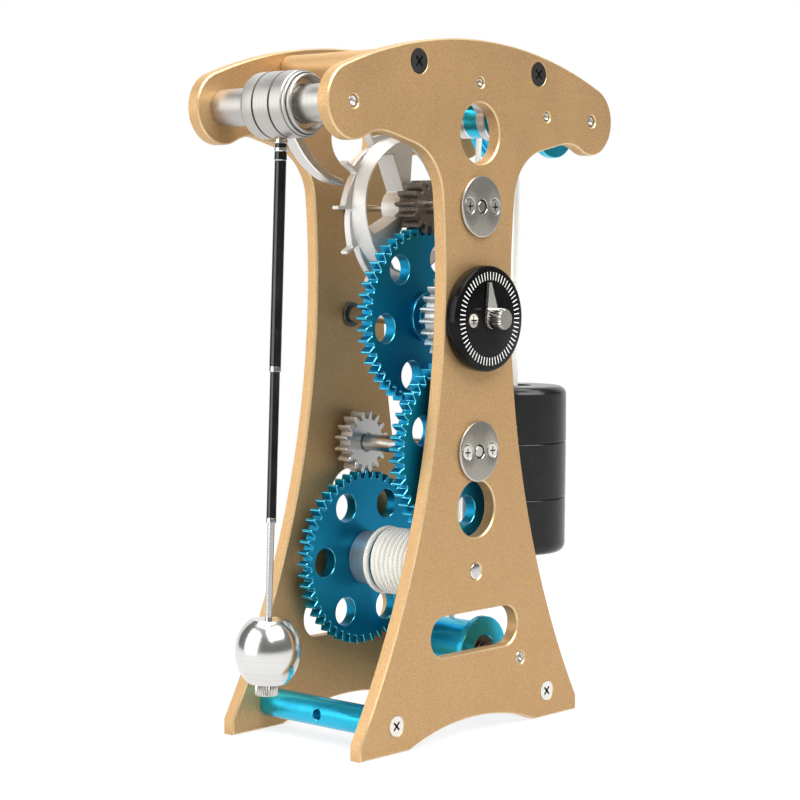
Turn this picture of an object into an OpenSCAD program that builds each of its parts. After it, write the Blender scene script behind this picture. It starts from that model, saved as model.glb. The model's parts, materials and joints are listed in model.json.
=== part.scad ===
// Weight-driven pendulum clock model: two plates, a four-arbor train, a detent escapement
// Millimetres. X runs right, Y runs from the dial to the back, Z runs up from the feet.

/* [Plates] */
// Height of the plates at their middle
plate_h = 190.8; // [188:0.1:194]
// Thickness of a plate
plate_t = 4; // [3.6:0.1:5]
// Gap between the plates
plate_gap = 43.4; // [43:0.1:48]
// Sideways distance from the middle to the axis in each arm
arm_x = 50.93; // [49:0.1:54]
// Height of the axis in each arm
arm_z = 171.38; // [169:0.1:173]
// Radius of the round end of an arm
arm_end_r = 9.8; // [9.2:0.1:10.4]
// Half width of the plate at its waist
waist_half = 14.3; // [13.6:0.1:16]
// Height of the waist
waist_z = 124.7; // [120:0.1:128]
// Radius of the fillet where the waist opens into an arm
shoulder_r = 15.2; // [12:0.1:16]
// Half width of the plate over its feet
foot_half = 46.9; // [45:0.1:52]
// Height of the upright edge of a foot
foot_h = 4.2; // [3:0.1:6]
// Half width of the arch between the feet
arch_half = 27.2; // [22:0.1:28]
// Rise of the arch between the feet
arch_rise = 4.9; // [3:0.1:6]
// Radius of the upper window
top_hole_r = 8.3; // [6:0.1:9]
// Radius of the lower window
low_hole_r = 7.9; // [6:0.1:8]
// Length of the slot above the feet
slot_l = 37.4; // [30:0.1:40]
// Height of the slot above the feet
slot_h = 11.3; // [9:0.1:12]

/* [Bars and screws] */
// Radius of the upper bars between the plates
top_bar_r = 4; // [3.5:0.1:4.2]
// Radius of the foot bars between the plates
foot_bar_r = 4; // [3.5:0.1:4.4]
// Sideways place of the upper bars
top_bar_x = 25.66; // [25:0.1:28]
// Height of the upper bars
top_bar_z = 183.26; // [182.5:0.1:184]
// Sideways place of the foot bars
foot_bar_x = 32.73; // [31:0.1:36]
// Height of the foot bars
foot_bar_z = 7.39; // [7:0.1:8]
// Radius of the cross hole in the left foot bar
cross_hole_r = 1.5; // [1:0.1:2]
// Radius of a foot screw's head
foot_head_r = 2.75; // [2.5:0.05:3]
// Radius of an upper screw's head
top_head_r = 3.3; // [3:0.05:3.6]
// Radius of every frame screw's shank
shank_r = 1.5; // [1.2:0.05:1.7]
// Length of a frame screw's shank under its head
shank_l = 9; // [6:0.1:12]

/* [Train] */
// Module of every wheel and pinion
gear_module = 1; // [0.98:0.005:1.02]
// Height of the great arbor
great_z = 45.5; // [45:0.1:47]
// Extra distance between the great wheel and its pinion
great_ease = 1.2; // [1:0.05:1.4]
// Width of the great wheel
great_w = 3.5; // [3:0.1:4]
// Width of the other wheels
wheel_w = 3.5; // [3:0.1:4]
// Width of the second pinion
second_pinion_w = 4.5; // [4:0.1:5]
// Width of the third pinion
third_pinion_w = 5.5; // [5:0.1:6]
// Width of the escape pinion
escape_pinion_w = 7; // [6:0.1:7.4]
// Radius of the round holes in a wheel
wheel_hole_r = 4.1; // [3:0.1:4.4]
// Radius of the ring of holes in a wheel
wheel_hole_ring = 17.2; // [15:0.1:17.4]
// Radius of the great arbor
great_arbor_r = 3; // [2.8:0.05:3.5]
// Radius of the great arbor's journals
great_journal_r = 2.25; // [2:0.05:2.4]
// Radius of the second arbor
second_arbor_r = 2.4; // [2:0.05:2.7]
// Radius of the third arbor
third_arbor_r = 2.4; // [2:0.05:2.7]
// Radius of the journals in the ball bearings
journal_r = 1.5; // [1.2:0.05:1.7]
// Radius of the escape arbor behind its wheel
escape_arbor_r = 1.1; // [0.9:0.05:1.2]

/* [Escape wheel] */
// Tip radius of the escape wheel
escape_tip_r = 25; // [24:0.1:25.4]
// Number of its teeth
escape_teeth = 12; // [10:1:15]
// Length of a tooth outside the rim
escape_tooth_l = 2.9; // [2:0.1:3.2]
// Width of the escape wheel
escape_w = 6.8; // [5:0.1:7]
// Inner radius of its rim
escape_rim_in = 18.2; // [17:0.1:19]
// Width of the toothed edge behind the wheel's bevel
escape_edge_w = 2.4; // [1.6:0.1:4]
// Radius of its hub
escape_hub_r = 5.1; // [4.5:0.1:6]
// Half width of a spoke at the hub
spoke_half = 1.9; // [1.5:0.1:2.4]

/* [Weight drive] */
// Radius of the cord
cord_r = 0.85; // [0.7:0.01:0.9]
// Radius of the drum under the cord
drum_r = 7.7; // [7.2:0.05:8]
// Radius of the drum's front flange
flange_r = 10.2; // [10:0.1:11]
// Radius of the clutch ring
clutch_r = 7.7; // [7:0.1:8.4]
// Number of turns of cord on the drum
turns = 8; // [7:1:8]
// Distance from one turn to the next
turn_pitch = 1.86; // [1.86:0.01:1.9]
// Radius of a roller's body
roller_r = 8.3; // [7.6:0.05:8.4]
// Radius of a roller's flanges
roller_flange_r = 10.2; // [9.6:0.1:10.4]
// Width of a roller's flanges
roller_flange_w = 2; // [1.6:0.1:3]
// Length of a roller
roller_l = 24.5; // [23:0.1:26]
// Radius of a roller's axle
axle_r = 1.7; // [1.5:0.05:1.8]
// Outer radius of a roller's bearing
roller_bearing_r = 4.75; // [4.2:0.05:5.2]
// Sideways place of the guide roller
guide_x = 20.33; // [20:0.1:20.6]
// Height of the guide roller
guide_z = 18.73; // [18.5:0.1:19]

/* [Weight] */
// Radius of a weight disc
weight_r = 15.8; // [12:0.1:17]
// Height of a weight disc
disc_h = 16.95; // [15:0.1:18]
// Number of discs
discs = 3; // [3:1:3]
// Height of the weight's underside at rest
weight_z = 42.2; // [42:0.1:50]
// Rounding of the weight's outer edges
weight_round = 2.8; // [2:0.1:4]
// Radius of the rod through the discs
weight_rod_r = 2; // [1.6:0.1:2.4]
// Depth of the recess for the cord's eye in the top disc
eye_recess = 10.6; // [10.2:0.1:12]
// How far the cord creeps towards the back between the drum and the weight
cord_creep = 1.8; // [0:0.1:1.8]

/* [Dial] */
// Radius of the dial
dial_r = 14.5; // [13.6:0.1:14.8]
// Thickness of the dial
dial_t = 4; // [3:0.1:5]
// Length of the hand
hand_l = 10; // [8:0.1:11]
// Radius of the thumb nut
thumb_r = 2.9; // [2.6:0.1:3.4]
// Length of the thumb nut
thumb_l = 4.4; // [3.5:0.1:5]
// Radius of the bearing caps
cap_r = 8.4; // [8:0.1:8.8]
// Thickness of the bearing caps
cap_t = 1; // [0.8:0.1:1.4]

/* [Pendulum] */
// Lean of the pendulum at rest, in degrees
lean = 1.8; // [1:0.1:2.4]
// Radius of the bar it hangs on
pivot_bar_r = 5; // [4.6:0.1:5.1]
// Radius of the collar
collar_r = 8.8; // [8.4:0.1:9.2]
// Length of the collar
collar_l = 17.7; // [17:0.1:20]
// Radius of the upper rod
upper_rod_r = 1.55; // [1.3:0.05:1.7]
// Length of the upper rod
upper_rod_l = 55.4; // [50:0.1:58]
// Radius of the middle rod
middle_rod_r = 1.3; // [1.15:0.05:1.5]
// Length of the middle rod
middle_rod_l = 40; // [36:0.1:42]
// Radius of the lower rod
lower_rod_r = 0.95; // [0.8:0.05:1.1]
// Visible length of the lower rod
lower_rod_l = 25.6; // [24:0.1:28]
// Radius of the bob
bob_r = 8.8; // [8:0.1:9]
// Height of the bob
bob_h = 17; // [16:0.1:18]
// Radius of the rating nut
nut_r = 3.1; // [2.8:0.1:3.6]
// Height of the rating nut
nut_h = 3.2; // [3:0.1:4]

/* [Escapement] */
// Sideways place of the detent's pivot
detent_x = 29.7; // [29:0.1:31]
// Height of the detent's pivot
detent_z = 171.56; // [171:0.1:172]
// Radius of the detent's hub
detent_hub_r = 5.2; // [4.6:0.1:5.6]
// Radius of the detent's pivot pin and the stop pin
pin_r = 1.4; // [1.2:0.05:1.6]
// Height of the stop pin
stop_z = 179.3; // [178.8:0.1:179.5]
// Width of the detent's and the pendulum's blades
blade_w = 4; // [3:0.1:4.4]

/* [Clearances] */
// Radial clearance of parts that are fixed to each other
fit = 0.02; // [0.01:0.01:0.03]
// Radial clearance of running shafts
run = 0.05; // [0.03:0.01:0.08]
// Gap between parts that pass each other
gap = 0.3; // [0.25:0.01:0.4]
// Backlash taken off each side of a tooth
backlash = 0.1; // [0.08:0.01:0.14]

/* [Hidden] */

// Colours
gold = [0.78, 0.62, 0.42];
teal = [0.05, 0.5, 0.62];
silver = [0.78, 0.78, 0.78];
steel = [0.55, 0.55, 0.54];
dark_steel = [0.25, 0.25, 0.26];
black = [0.06, 0.06, 0.06];
white = [0.92, 0.9, 0.87];

// Inner and outer faces of the plates
front_in = -plate_gap / 2;
rear_in = plate_gap / 2;
front_out = front_in - plate_t;
rear_out = rear_in + plate_t;

// Counts of teeth, arbor heights and places of the wheels along the arbors
great_teeth = 48;
second_leaves = 16;
second_teeth = 50;
third_leaves = 23;
third_teeth = 48;
escape_leaves = 13;
second_z = great_z + gear_module * (great_teeth + second_leaves) / 2 + great_ease;
third_z = second_z + gear_module * (second_teeth + third_leaves) / 2;
escape_z = third_z + gear_module * (third_teeth + escape_leaves) / 2;
great_y = rear_in - 3 - great_w;
second_pinion_y = great_y;
second_y = front_in + 2.1;
third_pinion_y = second_y - 0.8;
third_y = -6.6;
escape_pinion_y = third_y - 1.4;
escape_y = escape_pinion_y + escape_pinion_w + 0.3;
wheel_bore_face = 0.6;

// Windows and slot of the plates
top_window_z = 165.6;
low_window_z = 62.8;
slot_z = 28.75;
mirror_x = [-1, 1];

// Heads, recesses and tapped ends of the screws
head_ease = 0.25;
head_rim = 0.2;
recess_d = 0.9;
bar_tap = shank_l + 3;
cap_screw_x = 5.4;
cap_shank_r = 1;
cap_head_r = 1.9;
cap_seat = 0.6;
cap_bore_r = 2;

// The dial's screw, the hand and its nut
dial_bore_r = 2.2;
dial_seat = 0.7;
dial_screw_x = -7;
dial_screw_z = third_z - 0.4;
hand_y = front_out - dial_t - gap;
hand_t = 0.9;
hand_boss_r = 2.8;
hand_turn = 8;
knurls = 28;
thumb_front = hand_y - hand_t - thumb_l;

// Steps of the third and the escape arbor
third_disc_r = 6.8;
third_disc_w = 1.2;
escape_shaft_r = journal_r + 0.4;

// Ball bearings in the plates
bearing_r = journal_r + 1.5;
bearing_l = 2.5;
bearing_lip_r = bearing_r + 0.6;
bearing_lip = 0.6;
shoulder_gap = 0.2;

// Rollers, their bearings and the clips on their axles
roller_front = -roller_l / 2;
roller_back = roller_l / 2;
roller_bearing_w = 3;
bearing_body = roller_bearing_w - 0.2;
clip_r = 2.8;
clip_w = 1.2;

// The drum, the turns of cord and the cord's free run
flange_w = 1.2;
turn_r = drum_r + cord_r + 0.1;
wind_y = 5.4;
wind_end_y = wind_y - (turns + 0.5) * turn_pitch;
wind_bend = 1.4;
drum_front = wind_end_y - wind_bend - 2 * cord_r;
clutch_front = 8.4;
run_y = 7.3;
hang_x = 60.5;
hang_y = run_y + cord_creep;
hang_z = 171.4;
recess_z = weight_z + discs * disc_h - eye_recess;
rod_nut_h = 2;
rod_top_z = recess_z + rod_nut_h + 1;
eye_z = rod_top_z + 3.6;
eye_r = 2.6;
eye_wire_r = 0.8;

// Heads and roundings of the weight
rod_head_r = 5;
rod_head_h = 1.5;
rod_head_in = 0.3;
seam_round = 0.5;

// Route of the cord from the drum, under the guide roller and over the arm roller
cord_route = [[8.9, 45.5], [9.3, 41], [9.6, 36.5], [9.9, 32], [10.2, 27.5], [10.5, 23],
    [10.7, 18.7], [11.3, 15.4], [12.9, 12.5], [15.4, 10.4], [18.6, 9.3], [22, 9.3],
    [25.2, 10.4], [27.7, 12.6], [29.3, 15.3], [29.9, 18.1], [41.3, 172], [42.2, 175.4],
    [44.1, 178.2], [46.8, 180.1], [50.1, 181], [53.4, 180.7], [56.4, 179.3], [58.8, 177],
    [60.2, 174.3], [60.5, 171.4]];
cord_step = 5;

// Grooves and bearings of the pendulum's collar
grooves = [6.7, 12.6];
groove_w = 0.7;
groove_d = 0.45;
lip_in = 2.4;
collar_bearing_w = 3;
collar_bearing_r = 6.8;
collar_lip_r = 7.8;
collar_lip_l = 1.2;
collar_ring_r = 8.4;
collar_ring_l = 1.1;

// Shoulders of the pendulum, measured down from its axis
collar_front = -10.2;
collar_back = collar_front + collar_l;
fitting_top = collar_r - 1.4;
fitting_l = 7.2;
fitting_r = upper_rod_r + 0.15;
upper_top = fitting_top + fitting_l;
middle_top = upper_top + upper_rod_l;
lower_top = middle_top + middle_rod_l;
bob_top = lower_top + lower_rod_l;
bob_low = bob_top + bob_h;
nut_low = bob_low + nut_h;
rod_in = 3;
bob_long = 1.5;
nut_gap = 0.05;

// Places of the blades across the depth
impulse_y = 0.3;
release_y = collar_front + collar_lip_l + collar_ring_l + 0.4;
hook_y = 1;
release_w = 3;

// The impulse arm ends outside the escape wheel, the release arm under the detent's tail
pivot_c = [-arm_x, arm_z];
impulse_gap = 2.2;
impulse_tip = [0, escape_z] + (escape_tip_r + impulse_gap) * [cos(167), sin(167)];
tip_r = 1;
release_gap = 0.35;
detent_tail_z = detent_z + 11.04;
release_tip = [-14, detent_tail_z - release_gap - tip_r];

// Points on an arc about c, from one angle to another, without the first one
function arc(c, r, from, to, n) =
    [for (i = [1:n]) let (a = from + (to - from) * i / n) c + r * [cos(a), sin(a)]];
function mirrored(points) = [for (i = [len(points) - 1:-1:0]) [-points[i][0], points[i][1]]];
function bezier(a, b, c, t) = (1 - t) * (1 - t) * a + 2 * t * (1 - t) * b + t * t * c;
function unit(v) = v / norm(v);

// Circles that make the outline of a plate
side_r = (pow(foot_half - waist_half, 2) + pow(waist_z - foot_h, 2))
    / (2 * (foot_half - waist_half));
side_c = [waist_half + side_r, waist_z];
shoulder_z = arm_z - 24.4;
shoulder_c = [side_c[0] - sqrt(pow(side_r - shoulder_r, 2) - pow(waist_z - shoulder_z, 2)),
    shoulder_z];
arm_c = [arm_x, arm_z];
notch_c = arm_c - [11.03, 20.18];
notch_r = norm(arm_c - notch_c) - arm_end_r;
top_drop = plate_h - arm_z;
top_r = (arm_x * arm_x + top_drop * top_drop - arm_end_r * arm_end_r)
    / (2 * (top_drop - arm_end_r));
top_c = [0, plate_h - top_r];
arch_r = (arch_half * arch_half + arch_rise * arch_rise) / (2 * arch_rise);
shoulder_to_notch = notch_c - shoulder_c;
side_angle = atan2(shoulder_c[1] - side_c[1], shoulder_c[0] - side_c[0]);
under_angle = 90 + atan2(shoulder_to_notch[1], shoulder_to_notch[0])
    + asin((notch_r - shoulder_r) / norm(shoulder_to_notch));
notch_angle = atan2(arm_c[1] - notch_c[1], arm_c[0] - notch_c[0]);
top_angle = atan2(arm_c[1] - top_c[1], arm_x);
foot_angle = 180 + asin((waist_z - foot_h) / side_r);

half_outline = concat(
    arc([0, arch_rise - arch_r], arch_r, 90, 90 - asin(arch_half / arch_r), 8),
    [[foot_half, 0], [foot_half, foot_h]],
    arc(side_c, side_r, foot_angle, side_angle, 20),
    arc(shoulder_c, shoulder_r, side_angle, under_angle, 12),
    [notch_c + notch_r * [cos(under_angle), sin(under_angle)]],
    arc(notch_c, notch_r, under_angle, notch_angle, 6),
    arc(arm_c, arm_end_r, notch_angle - 180, top_angle, 24),
    arc(top_c, top_r, top_angle, 89.5, 9));
plate_outline = concat([[0, arch_rise]], half_outline, [[0, plate_h]],
    mirrored(half_outline));

// Involute teeth: a flank starts at the root and ends at the tip
function flank_angle(r, base) = r <= base ? 0
    : let (a = acos(base / r)) tan(a) * 180 / PI - a;
function gear_points(teeth, root, tip, thin) =
    let (
        pitch_r = gear_module * teeth / 2,
        base = pitch_r * cos(20),
        half = 90 / teeth - thin / pitch_r * 180 / PI + flank_angle(pitch_r, base),
        start = max(root, base),
        radii = concat(root < base ? [root] : [],
            [for (i = [0:3]) start + (tip - start) * i / 3]),
        flank = [for (r = radii) [r, half - flank_angle(r, base)]])
    [for (k = [0:teeth - 1]) for (side = [-1, 1]) for (i = [0:len(flank) - 1])
        let (
            p = side < 0 ? flank[i] : flank[len(flank) - 1 - i],
            a = k * 360 / teeth + side * p[1])
        p[0] * [cos(a), sin(a)]];

// A slab of an XZ outline between two places along Y
module slab_y(y0, y1) {
    translate([0, y1, 0]) rotate([90, 0, 0]) linear_extrude(y1 - y0) children();
}

// A round bar along Y at a place in XZ
module bar_y(x, z, r, y0, y1) {
    translate([x, y0, z]) rotate([-90, 0, 0]) cylinder(h = y1 - y0, r = r, $fn = 48);
}

// A cone along Y
module cone_y(x, z, r0, r1, y0, y1) {
    translate([x, y0, z]) rotate([-90, 0, 0]) cylinder(h = y1 - y0, r1 = r0, r2 = r1, $fn = 48);
}

// A ring along Y
module ring_y(x, z, r, bore, y0, y1) {
    difference() {
        bar_y(x, z, r, y0, y1);
        bar_y(x, z, bore, y0 - 1, y1 + 1);
    }
}

// A bar along Y with both ends chamfered
module chamfered_bar_y(x, z, r, y0, y1, chamfer) {
    translate([x, 0, z]) rotate([-90, 0, 0]) rotate_extrude($fn = 64)
        polygon([[0, y0], [r - chamfer, y0], [r, y0 + chamfer], [r, y1 - chamfer],
            [r - chamfer, y1], [0, y1]]);
}

module plate_body(y0) {
    difference() {
        slab_y(y0, y0 + plate_t) polygon(plate_outline);
        bar_y(0, top_window_z, top_hole_r, y0 - 1, y0 + plate_t + 1);
        bar_y(0, low_window_z, low_hole_r, y0 - 1, y0 + plate_t + 1);
        for (side = mirror_x)
            bar_y(side * (slot_l - slot_h) / 2, slot_z, slot_h / 2, y0 - 1, y0 + plate_t + 1);
        translate([-(slot_l - slot_h) / 2, y0 - 1, slot_z - slot_h / 2])
            cube([slot_l - slot_h, plate_t + 2, slot_h]);
        bar_y(0, stop_z, pin_r + fit, y0 - 1, y0 + plate_t + 1);
        bar_y(detent_x, detent_z, pin_r + fit, y0 - 1, y0 + plate_t + 1);
        bar_y(guide_x, guide_z, axle_r + fit, y0 - 1, y0 + plate_t + 1);
        for (side = mirror_x)
            bar_y(side * arm_x, arm_z, axle_r + fit, y0 - 1, y0 + plate_t + 1);
        bar_y(0, great_z, great_journal_r + run, y0 - 1, y0 + plate_t + 1);
        for (z = [second_z, third_z, escape_z])
            bar_y(0, z, bearing_r + fit, y0 - 1, y0 + plate_t + 1);
        for (side = mirror_x) {
            bar_y(side * top_bar_x, top_bar_z, shank_r + fit, y0 - 1, y0 + plate_t + 1);
            bar_y(side * foot_bar_x, foot_bar_z, shank_r + fit, y0 - 1, y0 + plate_t + 1);
        }
    }
}

// Countersinks and counterbores in the outer face of a plate, which looks towards out
module face_cuts(y_face, out) {
    module sink(x, z, r, d) {
        if (out < 0) {
            cone_y(x, z, r, r - d, y_face, y_face + d);
            bar_y(x, z, r, y_face - 1, y_face);
        } else {
            cone_y(x, z, r - d, r, y_face - d, y_face);
            bar_y(x, z, r, y_face, y_face + 1);
        }
    }
    for (side = mirror_x) {
        sink(side * top_bar_x, top_bar_z, top_head_r + head_ease, top_head_r + head_ease - shank_r);
        sink(side * foot_bar_x, foot_bar_z, foot_head_r + head_ease,
            foot_head_r + head_ease - shank_r);
        sink(side * arm_x, arm_z, axle_r + 0.35, 0.35);
    }
    sink(0, stop_z, pin_r + 0.35, 0.35);
    sink(detent_x, detent_z, pin_r + 0.35, 0.35);
    sink(guide_x, guide_z, axle_r + 0.35, 0.35);
    sink(0, great_z, great_journal_r + 0.5, 0.45);
}

module front_plate() {
    color(gold) difference() {
        plate_body(front_out);
        face_cuts(front_out, -1);
        for (z = [second_z, escape_z], side = mirror_x)
            bar_y(side * cap_screw_x, z, cap_shank_r + fit, front_out - 1, front_in + 1);
        bar_y(dial_screw_x, dial_screw_z, cap_shank_r + fit, front_out - 1, front_in + 1);
    }
}

module rear_plate() {
    color(gold) difference() {
        plate_body(rear_in);
        face_cuts(rear_out, 1);
    }
}

// Bars between the plates, tapped at both ends for the frame screws
module frame_bar(x, z, r) {
    difference() {
        bar_y(x, z, r, front_in, rear_in);
        bar_y(x, z, shank_r + fit, front_in - 1, front_in + bar_tap);
        bar_y(x, z, shank_r + fit, rear_in - bar_tap, rear_in + 1);
    }
}

module top_bar_left() {
    color(gold) frame_bar(-top_bar_x, top_bar_z, top_bar_r);
}

module top_bar_right() {
    color(gold) frame_bar(top_bar_x, top_bar_z, top_bar_r);
}

module foot_bar_left() {
    color(teal) difference() {
        frame_bar(-foot_bar_x, foot_bar_z, foot_bar_r);
        translate([-foot_bar_x - foot_bar_r - 1, 0, foot_bar_z]) rotate([0, 90, 0])
            cylinder(h = 2 * foot_bar_r + 2, r = cross_hole_r, $fn = 32);
    }
}

module foot_bar_right() {
    color(teal) frame_bar(foot_bar_x, foot_bar_z, foot_bar_r);
}

// A countersunk screw with a cross recess, its head flush at y_face and its shank inwards
module countersunk(x, z, y_face, inward, head_r, r, l) {
    cone_l = head_r - r;
    translate([x, y_face, z]) scale([1, inward, 1]) rotate([-90, 0, 0]) difference() {
        union() {
            cylinder(h = head_rim, r = head_r, $fn = 48);
            translate([0, 0, head_rim]) cylinder(h = cone_l, r1 = head_r, r2 = r, $fn = 48);
            cylinder(h = l + cone_l, r = r, $fn = 32);
        }
        for (turn = [45, 135])
            rotate([0, 0, turn]) translate([-head_r * 0.55, -0.3, -0.1])
                cube([head_r * 1.1, 0.6, recess_d + 0.1]);
    }
}

module frame_screws(x, z, head_r) {
    for (side = mirror_x) {
        countersunk(side * x, z, front_out, 1, head_r, shank_r, shank_l);
        countersunk(side * x, z, rear_out, -1, head_r, shank_r, shank_l);
    }
}

module foot_screws() {
    color(silver) frame_screws(foot_bar_x, foot_bar_z, foot_head_r);
}

module top_screws() {
    color(dark_steel) frame_screws(top_bar_x, top_bar_z, top_head_r);
}

// A pin through both plates, with a dimple in each end
module plate_pin(x, z, r, inset) {
    difference() {
        bar_y(x, z, r, front_out + inset, rear_out - inset);
        cone_y(x, z, r * 0.6, 0.05, front_out + inset - 0.01, front_out + inset + r * 0.6);
        cone_y(x, z, 0.05, r * 0.6, rear_out - inset - r * 0.6, rear_out - inset + 0.01);
    }
}

module pendulum_bar() {
    color(silver) union() {
        bar_y(-arm_x, arm_z, pivot_bar_r, front_in, rear_in);
        plate_pin(-arm_x, arm_z, axle_r, 0.5);
    }
}

module arm_axle() {
    color(steel) plate_pin(arm_x, arm_z, axle_r, 0.5);
}

module guide_axle() {
    color(steel) plate_pin(guide_x, guide_z, axle_r, 0.2);
}

module detent_pin() {
    color(steel) plate_pin(detent_x, detent_z, pin_r, 0.4);
}

module stop_pin() {
    color(steel) plate_pin(0, stop_z, pin_r, 0.4);
}

// Clips that keep the rollers and the detent in place along their pins
module axle_clips() {
    color(dark_steel) {
        for (place = [[guide_x, guide_z], [arm_x, arm_z]]) {
            ring_y(place[0], place[1], clip_r, axle_r + fit,
                roller_front - gap - clip_w, roller_front - gap);
            ring_y(place[0], place[1], clip_r, axle_r + fit,
                roller_back + gap, roller_back + gap + clip_w);
        }
        ring_y(detent_x, detent_z, clip_r, pin_r + fit,
            hook_y + blade_w + gap, hook_y + blade_w + gap + clip_w);
    }
}

// A flanged ball bearing in the front or the rear plate, turned about an arbor
module bearing(z, y_in, out, bore) {
    translate([0, y_in, z]) scale([1, out, 1]) rotate([-90, 0, 0]) rotate_extrude($fn = 48)
        polygon([[bore, -bearing_lip], [bearing_lip_r, -bearing_lip], [bearing_lip_r, 0],
            [bearing_r, 0], [bearing_r, bearing_l],
            [bearing_r - 0.5, bearing_l], [bearing_r - 0.6, bearing_l - 0.3],
            [bore + 0.6, bearing_l - 0.3], [bore + 0.5, bearing_l], [bore, bearing_l]]);
}

module bearing_pair(z, front_bore, rear_bore) {
    bearing(z, front_in, -1, front_bore);
    bearing(z, rear_in, 1, rear_bore);
}

module second_bearings() {
    color(dark_steel) bearing_pair(second_z, journal_r + run, journal_r + run);
}

module third_bearings() {
    color(dark_steel) bearing_pair(third_z, journal_r + run, journal_r + run);
}

module escape_bearings() {
    color(dark_steel) bearing_pair(escape_z, journal_r + run, escape_arbor_r + run);
}

// A cap over a bearing in the front plate
module bearing_cap(z) {
    difference() {
        chamfered_bar_y(0, z, cap_r, front_out - cap_t, front_out, 0.2);
        bar_y(0, z, cap_bore_r, front_out - cap_t - 1, front_out + 1);
        for (side = mirror_x) {
            bar_y(side * cap_screw_x, z, cap_shank_r + fit, front_out - cap_t - 1, front_out + 1);
            bar_y(side * cap_screw_x, z, cap_head_r + fit, front_out - cap_t - 1,
                front_out - cap_t + cap_seat);
            cone_y(side * cap_screw_x, z, cap_head_r + 0.5, cap_head_r,
                front_out - cap_t - 0.01, front_out - cap_t + 0.45);
        }
    }
}

module second_cap() {
    color(steel) bearing_cap(second_z);
}

module escape_cap() {
    color(steel) bearing_cap(escape_z);
}

// A small cheese-head screw with a cross recess that enters the front plate
module cheese_head(x, z, y_seat, head_h, l) {
    difference() {
        union() {
            bar_y(x, z, cap_head_r, y_seat - head_h, y_seat);
            bar_y(x, z, cap_shank_r, y_seat - head_h, y_seat + l);
        }
        for (turn = [0, 90])
            translate([x, y_seat - head_h, z]) rotate([0, turn, 0])
                translate([-cap_head_r * 0.6, -0.1, -0.2])
                cube([cap_head_r * 1.2, 0.5, 0.4]);
    }
}

module cap_screws() {
    color(steel) for (z = [second_z, escape_z], side = mirror_x)
        cheese_head(side * cap_screw_x, z, front_out - cap_t + cap_seat, cap_seat + 0.1, 4);
}

module dial() {
    color(black) difference() {
        chamfered_bar_y(0, third_z, dial_r, front_out - dial_t, front_out, 0.5);
        bar_y(0, third_z, dial_bore_r, front_out - dial_t - 1, front_out + 1);
        bar_y(dial_screw_x, dial_screw_z, cap_shank_r + fit, front_out - dial_t - 1,
            front_out + 1);
        bar_y(dial_screw_x, dial_screw_z, cap_head_r + fit, front_out - dial_t - 1,
            front_out - dial_t + dial_seat);
    }
}

module dial_screw() {
    color(silver) cheese_head(dial_screw_x, dial_screw_z, front_out - dial_t + dial_seat,
        dial_seat, dial_t + 2);
}

// A stepped arbor turned about its own axis, from a list of radius and place pairs
module arbor(z, steps) {
    translate([0, 0, z]) rotate([-90, 0, 0]) rotate_extrude($fn = 48)
        polygon(concat([[0, steps[0][1]]], steps, [[0, steps[len(steps) - 1][1]]]));
}

module great_arbor() {
    color(silver) arbor(great_z, [
        [great_journal_r - 0.2, front_out], [great_journal_r, front_out + 0.2],
        [great_journal_r, front_in + shoulder_gap], [great_arbor_r, front_in + shoulder_gap],
        [great_arbor_r, rear_in - shoulder_gap], [great_journal_r, rear_in - shoulder_gap],
        [great_journal_r, rear_out - 0.2], [great_journal_r - 0.2, rear_out]]);
}

// A wheel with its round holes and a bore; turned sets where its first tooth stands
module toothed_wheel(z, teeth, y, w, bore, hole_turn, turned) {
    pitch_r = gear_module * teeth / 2;
    translate([0, 0, z]) difference() {
        slab_y(y, y + w) rotate(turned)
            polygon(gear_points(teeth, pitch_r - 1.25 * gear_module, pitch_r + gear_module,
                backlash));
        bar_y(0, 0, bore, y - 1, y + w + 1);
        for (i = [0:5])
            let (a = hole_turn + 60 * i)
                bar_y(wheel_hole_ring * cos(a), wheel_hole_ring * sin(a), wheel_hole_r,
                    y - 1, y + w + 1);
    }
}

module pinion(z, leaves, y, w, bore, turned) {
    pitch_r = gear_module * leaves / 2;
    translate([0, 0, z]) difference() {
        slab_y(y, y + w) rotate(turned)
            polygon(gear_points(leaves, pitch_r - 1.25 * gear_module, pitch_r + gear_module,
                backlash));
        bar_y(0, 0, bore, y - 1, y + w + 1);
    }
}

// A wheel stands with a tooth upright below a gap of its pinion
function tooth_up(teeth) = 90 - 360 / teeth * floor(90 * teeth / 360);
function gap_down(teeth) = 270 + 180 / teeth;

module great_wheel() {
    color(teal) toothed_wheel(great_z, great_teeth, great_y, great_w, great_arbor_r + fit, 0,
        tooth_up(great_teeth));
}

module clutch_ring() {
    color(dark_steel) ring_y(0, great_z, clutch_r, great_arbor_r + fit, clutch_front, great_y);
}

module cord_drum() {
    color(teal) difference() {
        union() {
            bar_y(0, great_z, drum_r, drum_front - flange_w, clutch_front);
            bar_y(0, great_z, flange_r, drum_front - flange_w, drum_front);
        }
        bar_y(0, great_z, great_arbor_r + fit, drum_front - flange_w - 1, clutch_front + 1);
    }
}

// Rings of a tube: each is a list of points about a centre, across the way it runs
function tube_ring(centre, across, up, r, sides, first) =
    [for (k = [0:sides - 1]) let (a = first + 360 * k / sides)
        centre + r * (cos(a) * across + sin(a) * up)];

module tube(rings) {
    sides = len(rings[0]);
    last = len(rings) - 1;
    points = [for (ring = rings) for (p = ring) p];
    walls = [for (i = [0:last - 1], k = [0:sides - 1])
        let (
            a = i * sides + k,
            b = i * sides + (k + 1) % sides)
        each [[a, b, b + sides], [a, b + sides, a + sides]]];
    caps = [for (k = [1:sides - 2])
        each [[0, k + 1, k], [last * sides, last * sides + k, last * sides + k + 1]]];
    polyhedron(points, concat(walls, caps));
}

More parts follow.
